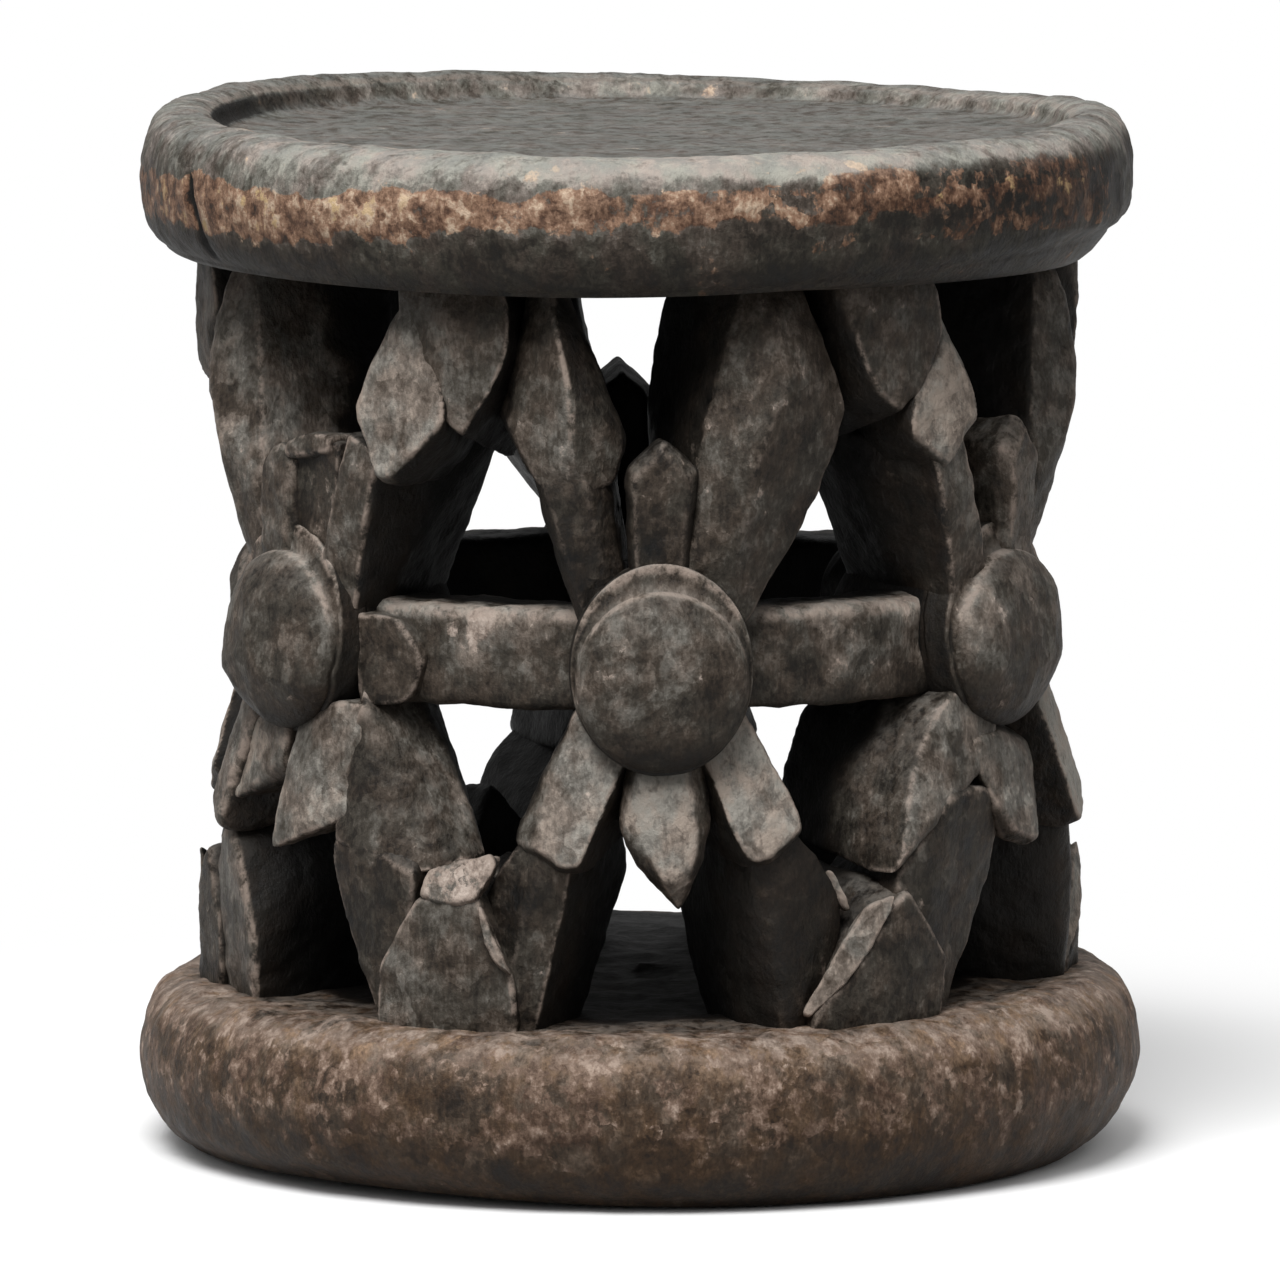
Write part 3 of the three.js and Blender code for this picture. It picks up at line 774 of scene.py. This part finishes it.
OWN_FORMS = {
    FRONT_ONE: {
        "upper_right_leg": [cut([*RIGHT_LEG_CORNERS, [6, 97, 0], [-7, 70, 0]], 0.45, 0.20)],
        "lower_knuckle": [*LOWER_KNUCKLE, half_way(cut(PALE_LIP, 0.95, 0.70))],
    },
    LEFT_ONE: {
        "head": [cut(LOW_HEAD_CORNERS, 0.50, 0.20), cut(WEB_CORNERS, 0.56, 0.40),
                 cut(HOLLOW_CORNERS, 0.36, 0.24)],
        "tail": [cut(LEFT_ONE_TAIL, 0.90, 0.40)],
        "upper_left_leg": [moved(mirrored(cut(RIGHT_LEG_CORNERS, 0.60, 0.70, shade_and_soot=(0.50, 0.74))),
                                 waisted=0.05)],
        "upper_right_leg": [cut(LEFT_PLATE_CORNERS, 0.84, 0.16), cut(SIDE_SHANK_CORNERS, 0.54, 0.16)],
        "lower_left_leg": [moved(cut(LEFT_TONGUE_CORNERS, 0.62, 0.20), outwards=0.06),
                           moved(cut(LEFT_ONE_SHIN, 0.56, 0.14, shade_and_soot=(0.1, 0.4)), outwards=0.05)],
        "lower_right_leg": [cut(LEFT_ONE_TONGUE, 0.78, 0.56),
                            cut(LEFT_ONE_THIGH, 0.52, 0.52, shade_and_soot=(0.45, 0.70)),
                            cut(LEFT_ONE_KITE, 0.36, 0.22)],
        "upper_knuckle": [half_way(cut(LEFT_STONE_TOP, 0.60, 0.12, shade_and_soot=(0.15, 0.45)))],
        "lower_knuckle": [half_way(cut(LEFT_STONE_BODY, 0.54, 0.40)),
                          half_way(cut(LEFT_STONE_CAP, 0.74, 0.60, wear=0.62)),
                          half_way(cut(LEFT_STONE_FLAKE, 0.74, 0.60))],
    },
    RIGHT_ONE: {
        "head": [moved(cut(HEAD_CORNERS, 0.50, 0.46), outwards=-0.05)],
        "tail": [cut(RIGHT_ONE_TAIL, 0.66, 0.36)],
        "upper_left_leg": [cut(RIGHT_PLATE_CORNERS, 0.86, 0.18),
                           mirrored(cut(SIDE_SHANK_CORNERS, 0.54, 0.22))],
        "upper_right_leg": [moved(cut(RIGHT_LEG_CORNERS, 0.52, 0.20, shade_and_soot=(0.15, 0.40)),
                                  outwards=-0.02, waisted=0.12)],
        "lower_right_leg": [moved(form, outwards=0.03) for form in SHARED_FORMS["lower_right_leg"]],
        "lower_knuckle": [moved(form, outwards=-0.035) for form in LOWER_KNUCKLE],
        "lower_left_leg": [cut(RIGHT_ONE_TONGUE, 0.60, 0.36, shade_and_soot=(0.40, 0.60)),
                           cut(RIGHT_ONE_KITE, 0.36, 0.20)],
    },
    REAR_RIGHT_ONE: {"upper_right_leg": [moved(RIGHT_LEG, pinched=-0.13)]},
    REAR_ONE: {
        "upper_right_leg": [moved(RIGHT_LEG, pinched=-0.13)],
        "lower_right_leg": [moved(form, sideways=-0.11) for form in SHARED_FORMS["lower_right_leg"]],
    },
    REAR_LEFT_ONE: {
        "upper_right_leg": [moved(RIGHT_LEG, waisted=0.10)],
        "lower_right_leg": [moved(form, outwards=-0.01) for form in SHARED_FORMS["lower_right_leg"]],
        "lower_knuckle": [moved(form, outwards=-0.03) for form in LOWER_KNUCKLE],
        "upper_knuckle": [moved(UPPER_KNUCKLE, outwards=0.015)],
    },
}
print("members with corners of their own:", sum(len(forms) for forms in OWN_FORMS.values()))

# %% [markdown]
# ## Round backs
# A spider's back is a low round dome on a short oval drum. It is a turned form: a profile carried round
# the line that points straight out of the wall. The dome sits low on its drum, so that a ledge shows as a
# crescent along the top, as on the real one, and a painted highlight lies along it; the lower part and the
# sides are painted darker as shade. The backs at the sides are cut more roughly, and those that
# stand high, deep in the wall, turned or wide say so in the tables below.

# %% Backs
BOSS_WIDTH = 72 * MM
BOSS_HEIGHT = 83 * MM
DOME_TOP = 14 * MM
DOME_DROP = 4.4 * MM
BOSS_PROFILE_SHARES = [
    [0, 1], [0.25, 0.98], [0.5, 0.90], [0.70, 0.74], [0.84, 0.52], [0.925, 0.28], [0.955, 0.05],
    [0.955, -0.10], [0.965, -0.14], [0.985, -0.13], [1.0, -0.20], [1.0, -0.5], [0.99, -1.2],
    [0.80, -2.6], [0.60, -4.5], [0.3, -5.3], [0, -5.4],
]
BOSS_RINGS, BOSS_COLUMNS = 140, 150
BACK_LIFTS = {RIGHT_ONE: 7 * MM, LEFT_ONE: 8 * MM}
BACK_SINKS = {RIGHT_ONE: 9 * MM, REAR_RIGHT_ONE: 10 * MM, REAR_ONE: 6 * MM, REAR_LEFT_ONE: 11 * MM,
              LEFT_ONE: 5 * MM}
BACK_TURNS = {RIGHT_ONE: math.radians(-3.2), LEFT_ONE: math.radians(2.2)}
BACK_WIDTHS = {RIGHT_ONE: 1.13, LEFT_ONE: 1.08}


def smooth_curve(points, count):
    """A curve through points, by cubic pieces whose slopes at each point run from its neighbour before to
    its neighbour after, sampled evenly along its length."""
    points = np.array(points, float)
    padded = np.vstack([2 * points[0] - points[1], points, 2 * points[-1] - points[-2]])
    t = np.linspace(0, 1, 24, endpoint=False)[None, :, None]
    p0, p1, p2, p3 = (padded[i:i + len(points) - 1, None] for i in range(4))
    fine = p1 + 0.5 * t * ((p2 - p0) + t * ((2 * p0 - 5 * p1 + 4 * p2 - p3) + t * (3 * (p1 - p2) + p3 - p0)))
    fine = np.vstack([fine.reshape(-1, points.shape[1]), points[-1]])
    along = np.concatenate([[0], np.cumsum(np.linalg.norm(np.diff(fine, axis=0), axis=1))])
    even = np.linspace(0, along[-1], count)
    return np.column_stack([np.interp(even, along, fine[:, i]) for i in range(points.shape[1])])


def round_back(turn, seed, lift, sink, rough, wide):
    """A dome and drum: out = front + height(s), sideways = radius(s) cos(a), up = radius(s) sin(a). The
    drum is taller than wide, the dome as tall as wide and lower. It is lifted, sunk into the wall and
    widened by these amounts, and rough cuts are 1 or 0."""
    profile = [[share * BOSS_WIDTH / 2, stand * DOME_TOP] for share, stand in BOSS_PROFILE_SHARES]
    radius, stand = smooth_curve(profile, BOSS_RINGS).T
    angle = once_round(BOSS_COLUMNS)
    outward = np.array([math.sin(turn), -math.cos(turn), 0])
    sideways = wide * np.array([math.cos(turn), math.sin(turn), 0])
    dome = smooth_step(stand, -0.12 * DOME_TOP, -0.02 * DOME_TOP)
    tall = BOSS_HEIGHT / BOSS_WIDTH * (1 - dome) + 1.03 * dome
    up = tall[:, None, None] * np.array([0, 0, 1])
    ways = np.cos(angle)[..., None] * sideways + np.sin(angle)[..., None] * up
    wobble = 1 + 0.02 * soft_noise(ways * 1.3, 1.0, seed)
    drop = DOME_DROP * dome
    grid = (OPENWORK_RADIUS + 0.5 * MM - sink + stand)[:, None, None] * outward
    grid = grid + (lift + WAIST - drop)[:, None, None] * np.array([0, 0, 1])
    grid = grid + (radius[:, None] * wobble)[..., None] * ways
    push = hand_cut(grid, (0.8, 13, seed), (0.4, 6, seed + 3), (0.2, 2.6, seed + 4))
    push = push + rough * 5 * MM * (scoops(grid, 34 * MM, seed + 6) + 0.4) * (stand > -DOME_TOP)[:, None]
    grid = grid + push[..., None] * outward
    # Painted light and shade: the ledge's crescent and the brow are painted lighter and edged on the top as
    # highlights, and the lower part, the step under the dome and the sides are painted darker as shade.
    above = smooth_step(np.sin(angle), 0.0, 0.7)
    rim = bell(stand, -0.17 * DOME_TOP, 0.05 * DOME_TOP)[:, None]
    brow = bell(stand, 0.16 * DOME_TOP, 0.14 * DOME_TOP)[:, None]
    step = (1 - dome)[:, None] * (radius < 0.985 * BOSS_WIDTH / 2)[:, None]
    side = (stand < -0.25 * DOME_TOP)[:, None]
    outer = smooth_step(radius, 0.5 * BOSS_WIDTH / 2, BOSS_WIDTH / 2)[:, None]
    below = smooth_step(-np.sin(angle), 0.3, 0.9) * outer
    tone = 0.50 + 0.10 * soft_noise(grid, 12 * MM, seed + 9) + 0.30 * (rim + brow) * above
    tone = tone - 0.20 * step - 0.30 * below - 0.30 * side
    return skin(grid, edge=(rim + 0.8 * brow) * above, tone=tone, wear=0 * tone)


# %% [markdown]
# ## Waist rails
# A bar runs round the waist from each back to the next. Its section, a rectangle with rubbed corners, is
# carried along an arc, and both ends shrink to a point inside the backs.

# %% Rails
RAIL_HEIGHT = 41 * MM
RAIL_LIFT = 1.4 * MM
RAIL_THICKNESS = 36 * MM
RAIL_SETBACK = 21 * MM
RAIL_END_SHARE = 0.3
RAIL_SQUARENESS = 7
RAIL_RINGS, RAIL_COLUMNS = 120, 96
FRONT_CHIP, OTHER_CHIP = (1.38, 0.30), (1.12, 0.0)


def rail(turn, seed, chip_at, chip_low):
    """The section is the rounded rectangle |x/a|^7 + |y/b|^7 = 1, and its middle runs along the arc. Its
    upper edge is worn bare about a place along it, in half pitches, from a share of its height upwards."""
    along = np.linspace(RAIL_END_SHARE, 2 - RAIL_END_SHARE, RAIL_RINGS)
    angle = (turn + along * HALF_PITCH)[:, None]
    sweep = once_round(RAIL_COLUMNS)
    corner = np.abs(np.cos(sweep)) ** RAIL_SQUARENESS + np.abs(np.sin(sweep)) ** RAIL_SQUARENESS
    corner = corner ** (-1 / RAIL_SQUARENESS)
    ring = np.arange(RAIL_RINGS)
    close = np.clip(np.minimum(ring, ring[::-1]) / 3, 0, 1)[:, None]
    across = close * corner * np.cos(sweep)
    rise = close * corner * np.sin(sweep) * RAIL_HEIGHT / 2
    out = OPENWORK_RADIUS - RAIL_SETBACK - RAIL_THICKNESS / 2 + across * RAIL_THICKNESS / 2
    grid = np.stack([out * np.sin(angle), -out * np.cos(angle), WAIST + RAIL_LIFT + rise + 0 * angle],
                    axis=-1)
    push = hand_cut(grid, (1.6, 19, seed), (0.7, 8, seed + 2), (0.2, 2.6, seed + 4))
    away = np.stack([np.sin(angle) * np.cos(sweep), -np.cos(angle) * np.cos(sweep),
                     np.sin(sweep) + 0 * angle], axis=-1)
    grid = grid + (push * close)[..., None] * away
    # The top is lighter, partly wear and partly painted light; the lower part is darker and the inner face
    # black, painted shade.
    upper = smooth_step(rise, 0.30 * RAIL_HEIGHT, 0.46 * RAIL_HEIGHT)
    tone = 0.56 - 0.16 * smooth_step(-rise, -0.1 * RAIL_HEIGHT, 0.4 * RAIL_HEIGHT) + 0.34 * upper
    tone = tone * smooth_step(across, -0.1, 0.9) + 0.12 * soft_noise(grid, 14 * MM, seed + 9)
    chip = bell(along, chip_at, 0.12)[:, None] * smooth_step(across, 0.2, 0.8)
    chip = chip * smooth_step(rise, chip_low * RAIL_HEIGHT, (chip_low + 0.25) * RAIL_HEIGHT)
    tone = np.clip(tone + 0.35 * chip, 0, 1)
    return skin(grid, edge=0.7 * upper * smooth_step(across, 0.2, 0.9), tone=tone, wear=0.8 * chip)


# %% [markdown]
# ## The six spiders
# Each member of each spider takes its own forms if it has any and the shared ones if not. It replaces the
# plain solid of the same name, and rides with it. The three that face the photograph's camera have the
# finer skins, and the corners of the others wander a little, as the work of a hand does.

# %% Make the six spiders
FINE_GRID, COARSE_GRID = (136, 116), (80, 72)
WANDER_SHARE = 0.01
WORN_SOFTNESS = 2.2 * MM

made = 0
for number in range(SPIDERS):
    turn = FRONT_TURN + 2 * HALF_PITCH * number
    own = np.random.default_rng(40 + number)
    seen_close = number in (FRONT_ONE, LEFT_ONE, RIGHT_ONE)
    rings, columns = FINE_GRID if seen_close else COARSE_GRID
    for place, form in enumerate(SHARED_FORMS):
        skins = []
        for hull in OWN_FORMS.get(number, {}).get(form, SHARED_FORMS[form]):
            if not seen_close:
                wander = own.normal(0, WANDER_SHARE, hull["shares"].shape)
                hull = {**hull, "shares": hull["shares"] + wander, "inward": HIDDEN_INWARD}
            worn_round = (number, form) == (LEFT_ONE, "lower_left_leg")
            soft = WORN_SOFTNESS if worn_round else EDGE_SOFTNESS
            skins.append(hewn(hull, turn, 100 * number + 7 * place + len(skins), rings, columns, soft))
        node_name = f"spider_{number + 1}_" + ("body" if form == "head" else form)
        make_piece(f"wood_{number + 1}_{form}", skins, openwork_finish, node_name)
        made += 1
    back = round_back(turn + BACK_TURNS.get(number, 0), 900 + number, BACK_LIFTS.get(number, 0),
                      BACK_SINKS.get(number, 0), float(number != FRONT_ONE), BACK_WIDTHS.get(number, 1))
    make_piece(f"wood_{number + 1}_back", [back], openwork_finish,
               f"spider_{number + 1}_body")
    bars = [rail(turn, 950 + number, *(FRONT_CHIP if number == FRONT_ONE else OTHER_CHIP))]
    if number == LEFT_ONE:
        bars.append(hewn(cut(RAIL_SHOULDER, 0.46, 0.40), turn, 990, 80, 70))
    make_piece(f"wood_{number + 1}_rail", bars, openwork_finish,
               f"spider_{number + 1}_waist_rail")
    made += 2
print("pieces of the openwork:", made)

# %% [markdown]
# ## Seat and foot
# Both are discs that were cut round by eye. A profile is carried round the middle, its radius and its
# height waver a little with the angle, and the seat's rim stands above a shallow dish that runs out
# towards the back, as the photograph shows.

# %% Discs
SEAT_PROFILE_SHARES = [
    [0, 0], [0.5, 0], [0.90, 0.0], [0.950, 0.035], [0.982, 0.16], [0.997, 0.38], [1.0, 0.56], [0.995, 0.74],
    [0.980, 0.88], [0.955, 0.965], [0.925, 0.995], [0.90, 1.0], [0.875, 0.985], [0.858, 0.95],
    [0.850, 0.89], [0.838, 0.855], [0.80, 0.845], [0.6, 0.835], [0.3, 0.828], [0, 0.825],
]
FOOT_PROFILE_SHARES = [
    [0, 0], [0.5, 0], [0.85, 0], [0.918, 0.055], [0.964, 0.18], [0.990, 0.38], [1.0, 0.58], [0.99, 0.76],
    [0.962, 0.90], [0.925, 0.97], [0.885, 0.995], [0.6, 1.0], [0, 1.0],
]
DISC_COLUMNS = 560
WOBBLE_SHARE = 0.006


def near_angle(angle, degrees, width):
    """1 at a direction in degrees and falling to 0 over a width in radians, as a bell."""
    return bell(np.angle(np.exp(1j * (angle - math.radians(degrees)))), 0, width)


def swells(angle, rows):
    """Bells added up, each given by its height in mm, its direction in degrees and its width."""
    return sum(height * MM * near_angle(angle, degrees, width) for height, degrees, width in rows)


def disc_grid(profile_shares, radius, low, height, seed, rings, waver):
    """A disc cut by eye: radius(s) (1 + wobble(a)), low + height(s), with a the angle round the middle.
    Gives the grid, its profile's shares outwards and upwards, and its angles."""
    share, rise = smooth_curve(profile_shares, rings).T
    share, rise = share[:, None], rise[:, None]
    angle = once_round(DISC_COLUMNS)
    ways = np.stack([np.cos(angle), np.sin(angle), 0 * angle], axis=-1)
    out = radius * share * (1 + WOBBLE_SHARE * soft_noise(ways * 1.5, 1.0, seed) * (share > 0.5))
    grid = np.stack([out * np.cos(angle), out * np.sin(angle), low + height * rise + 0 * angle], -1)
    slope, run = np.gradient(rise[:, 0] * height)[:, None], np.gradient(share[:, 0] * radius)[:, None]
    size = np.hypot(slope, run)
    steep, flat = slope / size, run / size
    away = np.stack([steep * np.cos(angle), steep * np.sin(angle), -flat + 0 * angle], -1)
    push = hand_cut(grid, (0.9, 21, seed + 2), (waver, 13, seed + 1), (0.3, 4, seed + 3))
    grid = grid + (push * np.clip(rise * 8, 0, 1))[..., None] * away
    return grid, share + 0 * angle, rise + 0 * angle, angle


# %% [markdown]
# The seat's crest lifts behind on the left, its underside rises on the right, and a crack opens in front on
# the left. A band of bare wood runs round the front below the roll. Its two borders are given by the height
# that they have at a few directions.

# %% Seat
CREST_SWELLS = [(5.9, 140, 0.8), (2.5, 5, 0.35), (-0.5, 40, 0.4), (-3.8, -90, 1.0)]
UNDERSIDE_SWELLS = [(10, -15, 0.9), (3.5, 185, 0.6), (-3.2, -92, 0.6)]
EDGE_SWELLS = [(0.7, 186, 0.35), (-2.2, -8, 0.25)]
DISH_SLOPE = 2 * MM
CRACK_AT, CRACK_WIDTH, CRACK_DEPTH_SHARE = math.radians(207.5), 0.012, 0.012
BORDER_DEGREES = [180, 224, 270, 294, 316, 350]
BAND_TOP_SHARES = [0.66, 0.67, 0.76, 0.86, 0.90, 0.80]
BAND_FOOT_SHARES = [0.30, 0.29, 0.45, 0.50, 0.60, 0.50]
FLOOR_CALM = 0.45
SEAT_SEED, SEAT_RINGS = 11, 170


def seat_shape():
    """The seat's grid, its profile's shares and angles, and where its floor and its crack are."""
    grid, share, rise, angle = disc_grid(SEAT_PROFILE_SHARES, SEAT_RADIUS, seat_low.z, SEAT_THICKNESS,
                                         SEAT_SEED, SEAT_RINGS, 0.8)
    crest = smooth_step(rise, 0.5, 1.0) * smooth_step(share, 0.80, 0.9)
    grid[..., 2] += crest * swells(angle, CREST_SWELLS)
    floor_part = (rise > 0.7) * (1 - smooth_step(share, 0.82, 0.86))
    grid[..., 2] += floor_part * share * DISH_SLOPE * smooth_step(np.sin(angle), -0.1, 0.9)
    under = (1 - smooth_step(rise, 0.0, 0.45)) * smooth_step(share, 0.90, 0.96)
    grid[..., 2] += under * swells(angle, UNDERSIDE_SWELLS)
    grid[..., :2] *= (1 + swells(angle, EDGE_SWELLS) / SEAT_RADIUS * (share > 0.9))[..., None]
    crack = bell(angle - CRACK_AT, 0.10 * (0.6 - rise), CRACK_WIDTH)
    crack = crack * smooth_step(rise, 0.02, 0.15) * (1 - smooth_step(rise, 0.62, 0.75)) * (share > 0.9)
    grid[..., :2] *= (1 - CRACK_DEPTH_SHARE * crack)[..., None]
    return grid, share, rise, angle, floor_part, crack


def seat_skin():
    """The seat, with tones that follow the roll, partly a painted sheen, the worn band, the darker
    underside, partly painted shade, and the crack, with painted shade in it and along the dish's wall.
    """
    grid, share, rise, angle, floor_part, crack = seat_shape()
    near = functools.partial(near_angle, angle)
    ragged = rise + 0.07 * soft_noise(grid, 16 * MM, SEAT_SEED + 5)
    ragged = ragged + 0.04 * soft_noise(grid, 5 * MM, SEAT_SEED + 6)
    outer = share > 0.86
    at_left, at_right = near(-145, 0.5), near(-35, 0.55)
    degrees = np.degrees(angle)
    above_band = ragged - np.interp(degrees, BORDER_DEGREES, BAND_TOP_SHARES)
    base = np.interp(degrees, BORDER_DEGREES, BAND_FOOT_SHARES)
    roll = smooth_step(above_band, -0.05, 0.05)
    band = smooth_step(ragged - base, -0.06, 0.06) * (1 - smooth_step(above_band, -0.05, 0.03)) * outer
    shoulder = bell(rise, 0.93, 0.09) * outer
    front = near(-95, 0.75)
    # The roll is lighter, partly wear and partly painted sheen; the bottom of the rim is darker, partly
    # painted shade.
    tone = np.where(outer, 0.30 + 0.16 * smooth_step(rise, 0.1, 0.4) + 0.30 * roll, 0.57)
    # The sunlit shoulder is a painted highlight.
    sunlit = near(-78, 0.62)
    tone = tone + (0.34 * sunlit + 0.06) * shoulder + 0.30 * band * (front + at_left)
    # A painted sheen: a pale stroke on the roll at the front right.
    painted_sheen = bell(ragged, 0.90, 0.035) * near(-69, 0.13) * outer
    tone = tone + 0.70 * painted_sheen - 0.12 * outer * near(-162, 0.42)
    # Darker on the right, a painted shade.
    tone = tone - 0.22 * at_right * (1 - shoulder) * smooth_step(rise, 0.3, 0.5) * outer
    wall = (share > 0.835) & (share < 0.862) & (rise > 0.8)
    rear = smooth_step(np.sin(angle), -0.1, 0.5)
    tone = tone - 0.17 * rear * outer * (rise > 0.7)
    # Painted shade: the dish's wall is dark on the left, and the crack is dark.
    tone = tone + 0.10 * wall - 0.60 * wall * near(172, 0.55) - 0.9 * crack
    # A dark line along the crease at the foot of the dish's wall, a painted shade.
    crease = bell(share, 0.838, 0.004) * (rise > 0.8)
    tone = tone - 0.35 * crease * (0.4 + 0.6 * near(115, 0.25))
    low_right = at_right * (ragged > 0.3) * (ragged < base + 0.1)
    wear = band * (0.45 + 0.27 * front + 0.50 * at_left) + 0.60 * low_right
    wear = wear * outer * (1 - smooth_step(degrees, 332, 348)) * (1 - smooth_step(np.sin(angle), -0.15, 0.2))
    inner_edge = bell(share, 0.872, 0.016) * (rise > 0.8)
    wear = wear + 0.62 * inner_edge * near(-128, 0.4) + 0.42 * painted_sheen
    tone = tone + 0.25 * inner_edge * (near(-128, 0.4) + near(28.65, 0.4))
    bend = 0.4 * bell(share, 0.868, 0.010) * (rise > 0.8)
    return skin(grid, edge=bend * outer, tone=tone, wear=wear, calm=FLOOR_CALM * floor_part)


seat = make_piece("wood_seat", [seat_skin()], seat_finish, "seat")
print("seat faces:", len(seat.data.polygons))

# %% [markdown]
# The foot's crest is scuffed pale, and its face and its underside grow darker downwards, a painted shade.
# Inside the ring of spiders its top is black, a painted shade.

# %% Foot
FOOT_CREST_RISE = 5 * MM
FOOT_CREST_SWELLS = [(3, -5.73, 0.8)]
FOOT_BELLY_SWELLS = [(4.5, -128, 0.55)]
FOOT_TOP_WAVER = 1.2 * MM
FOOT_SEED, FOOT_RINGS = 23, 150


def foot_skin(seed):
    """The foot: its low edge is drawn in at the right, and its belly rises at the front left."""
    grid, share, rise, angle = disc_grid(FOOT_PROFILE_SHARES, FOOT_RADIUS, foot_low.z, FOOT_HEIGHT, seed,
                                         FOOT_RINGS, 1.0)
    grid[..., 2] += smooth_step(rise, 0.5, 0.97) * (FOOT_CREST_RISE + swells(angle, FOOT_CREST_SWELLS))
    low_right = (1 - smooth_step(rise, 0.1, 0.6)) * near_angle(angle, -15, 0.6)
    grid[..., :2] *= (1 - 0.020 * low_right)[..., None]
    belly = (1 - smooth_step(rise, 0.0, 0.5)) * smooth_step(share, 0.75, 0.93)
    grid[..., 2] += belly * swells(angle, FOOT_BELLY_SWELLS)
    top = smooth_step(rise, 0.90, 0.99)
    grid[..., 2] += FOOT_TOP_WAVER * top * soft_noise(grid, 22 * MM, seed + 8)
    ragged = rise + 0.06 * soft_noise(grid, 14 * MM, seed + 5) + 0.04 * soft_noise(grid, 5 * MM, seed + 6)
    crest = smooth_step(ragged, 0.74, 0.94) * (share > 0.84)
    # Darker downwards, a painted shade; the crest is scuffed pale.
    tone = 0.37 + 0.15 * smooth_step(ragged, 0.15, 0.6) + 0.31 * crest
    # Painted shade: black on the top inside the ring of spiders.
    reach = share + 0.02 * soft_noise(grid, 9 * MM, seed + 7) - 0.19 * smooth_step(np.sin(angle), 0.0, 0.5)
    inside = (rise > 0.5) * (1 - smooth_step(reach, 0.66, 0.73))
    tone = (tone - 0.15 * top + 0.22 * top * soft_noise(grid, 7 * MM, seed + 9)) * (1 - inside)
    wear = (0.46 * smooth_step(ragged, 0.2, 0.5) + 0.14 * crest) * (share > 0.82)
    return skin(grid, edge=0.35 * crest * (1 - top), tone=tone, wear=wear)


foot = make_piece("wood_foot", [foot_skin(FOOT_SEED)], foot_finish, "foot")
print("foot faces:", len(foot.data.polygons))

# %% [markdown]
# ## Floor and light
# The light in the photograph is soft and comes from above, a little from the front and the left, as
# under a bright sky. A sky that fades towards the horizon and one wide lamp stand for it. The floor is
# white paper: near the stool it keeps the shadow, and further off it is plain white for the eye, while
# the light that it sends up to the wood is that of dark ground.

# %% Floor
FLOOR_HALF = 60
SHADOW_REACH = 0.30
WHITE_FROM = 0.62
DARK_GROUND, WHITE_PAPER = (0.07, 0.07, 0.07, 1), (0.93, 0.93, 0.93, 1)


def white_for_the_eye(tree):
    """1 where the camera, a reflection or a see-through surface looks, and 0 for light on its way."""
    path = node(tree, "LightPath")
    seen = maths(tree, "MAXIMUM", path.outputs["Is Camera Ray"], path.outputs["Is Glossy Ray"])
    return maths(tree, "MAXIMUM", seen, path.outputs["Is Transmission Ray"])


floor_finish, floor_tree, floor_output = new_material("floor_paper")
seen = white_for_the_eye(floor_tree)
floor_colour = mixed(floor_tree, seen, DARK_GROUND, WHITE_PAPER)
paper = node(floor_tree, "BsdfDiffuse", {"Color": floor_colour})
plain_white = node(floor_tree, "Emission", {"Color": (1, 1, 1, 1), "Strength": 1.0})
spot = node(floor_tree, "TexCoord").outputs["Object"]
distance = node(floor_tree, "VectorMath", {0: spot}, operation="LENGTH")
far = between(floor_tree, distance.outputs["Value"], SHADOW_REACH, WHITE_FROM)
layers = {0: times(floor_tree, far, seen), 1: paper.outputs[0], 2: plain_white.outputs[0]}
blend = node(floor_tree, "MixShader", layers)
floor_tree.links.new(blend.outputs[0], floor_output.inputs[0])
floor_mesh = bpy.data.meshes.new("floor")
side = np.array([-FLOOR_HALF, FLOOR_HALF])
across, along = np.meshgrid(side, side)
floor_points = np.stack([across.ravel(), along.ravel(), np.zeros(4)], axis=-1)
floor_mesh.from_pydata(floor_points.tolist(), [], [(0, 1, 3, 2)])
floor_mesh.materials.append(floor_finish)
floor = bpy.data.objects.new("floor", floor_mesh)
bpy.context.scene.collection.objects.link(floor)

# %% [markdown]
# ## Light
# One large soft light stands high in front, as in a studio, and a pale sky fills the shadows.

# %% Light
HORIZON_LIGHT, ZENITH_LIGHT = 0.20, 0.80
BRIGHT_FROM = 0.8
LAMP_PLACE, LAMP_AIM = Vector((-0.6, -1.7, 2.7)), Vector((0, 0, 0.2))
LAMP_SIDE, LAMP_WATTS = 1.6, 105

world = bpy.data.worlds.new("sky")
bpy.context.scene.world = world
world.use_nodes = True
sky = world.node_tree
sky.nodes.clear()
height = node(sky, "SeparateXYZ", {0: node(sky, "TexCoord").outputs["Generated"]}).outputs["Z"]
strength = node(sky, "MapRange", {"Value": height, "From Min": 0.0, "From Max": BRIGHT_FROM,
                                  "To Min": HORIZON_LIGHT, "To Max": ZENITH_LIGHT}).outputs[0]
background = node(sky, "Background", {"Color": (1, 1, 1, 1), "Strength": strength})
node(sky, "OutputWorld", {"Surface": background.outputs[0]})

light = bpy.data.lights.new("sky_light", "AREA")
light.shape = "SQUARE"
light.size = LAMP_SIDE
light.energy = LAMP_WATTS
lamp = bpy.data.objects.new("sky_light", light)
lamp.location = LAMP_PLACE
lamp.rotation_euler = (LAMP_AIM - LAMP_PLACE).to_track_quat("-Z", "Y").to_euler()
bpy.context.scene.collection.objects.link(lamp)
print("lamp:", LAMP_WATTS, "W at", tuple(LAMP_PLACE))

# %% [markdown]
# ## Finish
# The last cell sets the view transform to Standard.

# %% Finish
view = bpy.context.scene.view_settings
view.view_transform = "Standard"
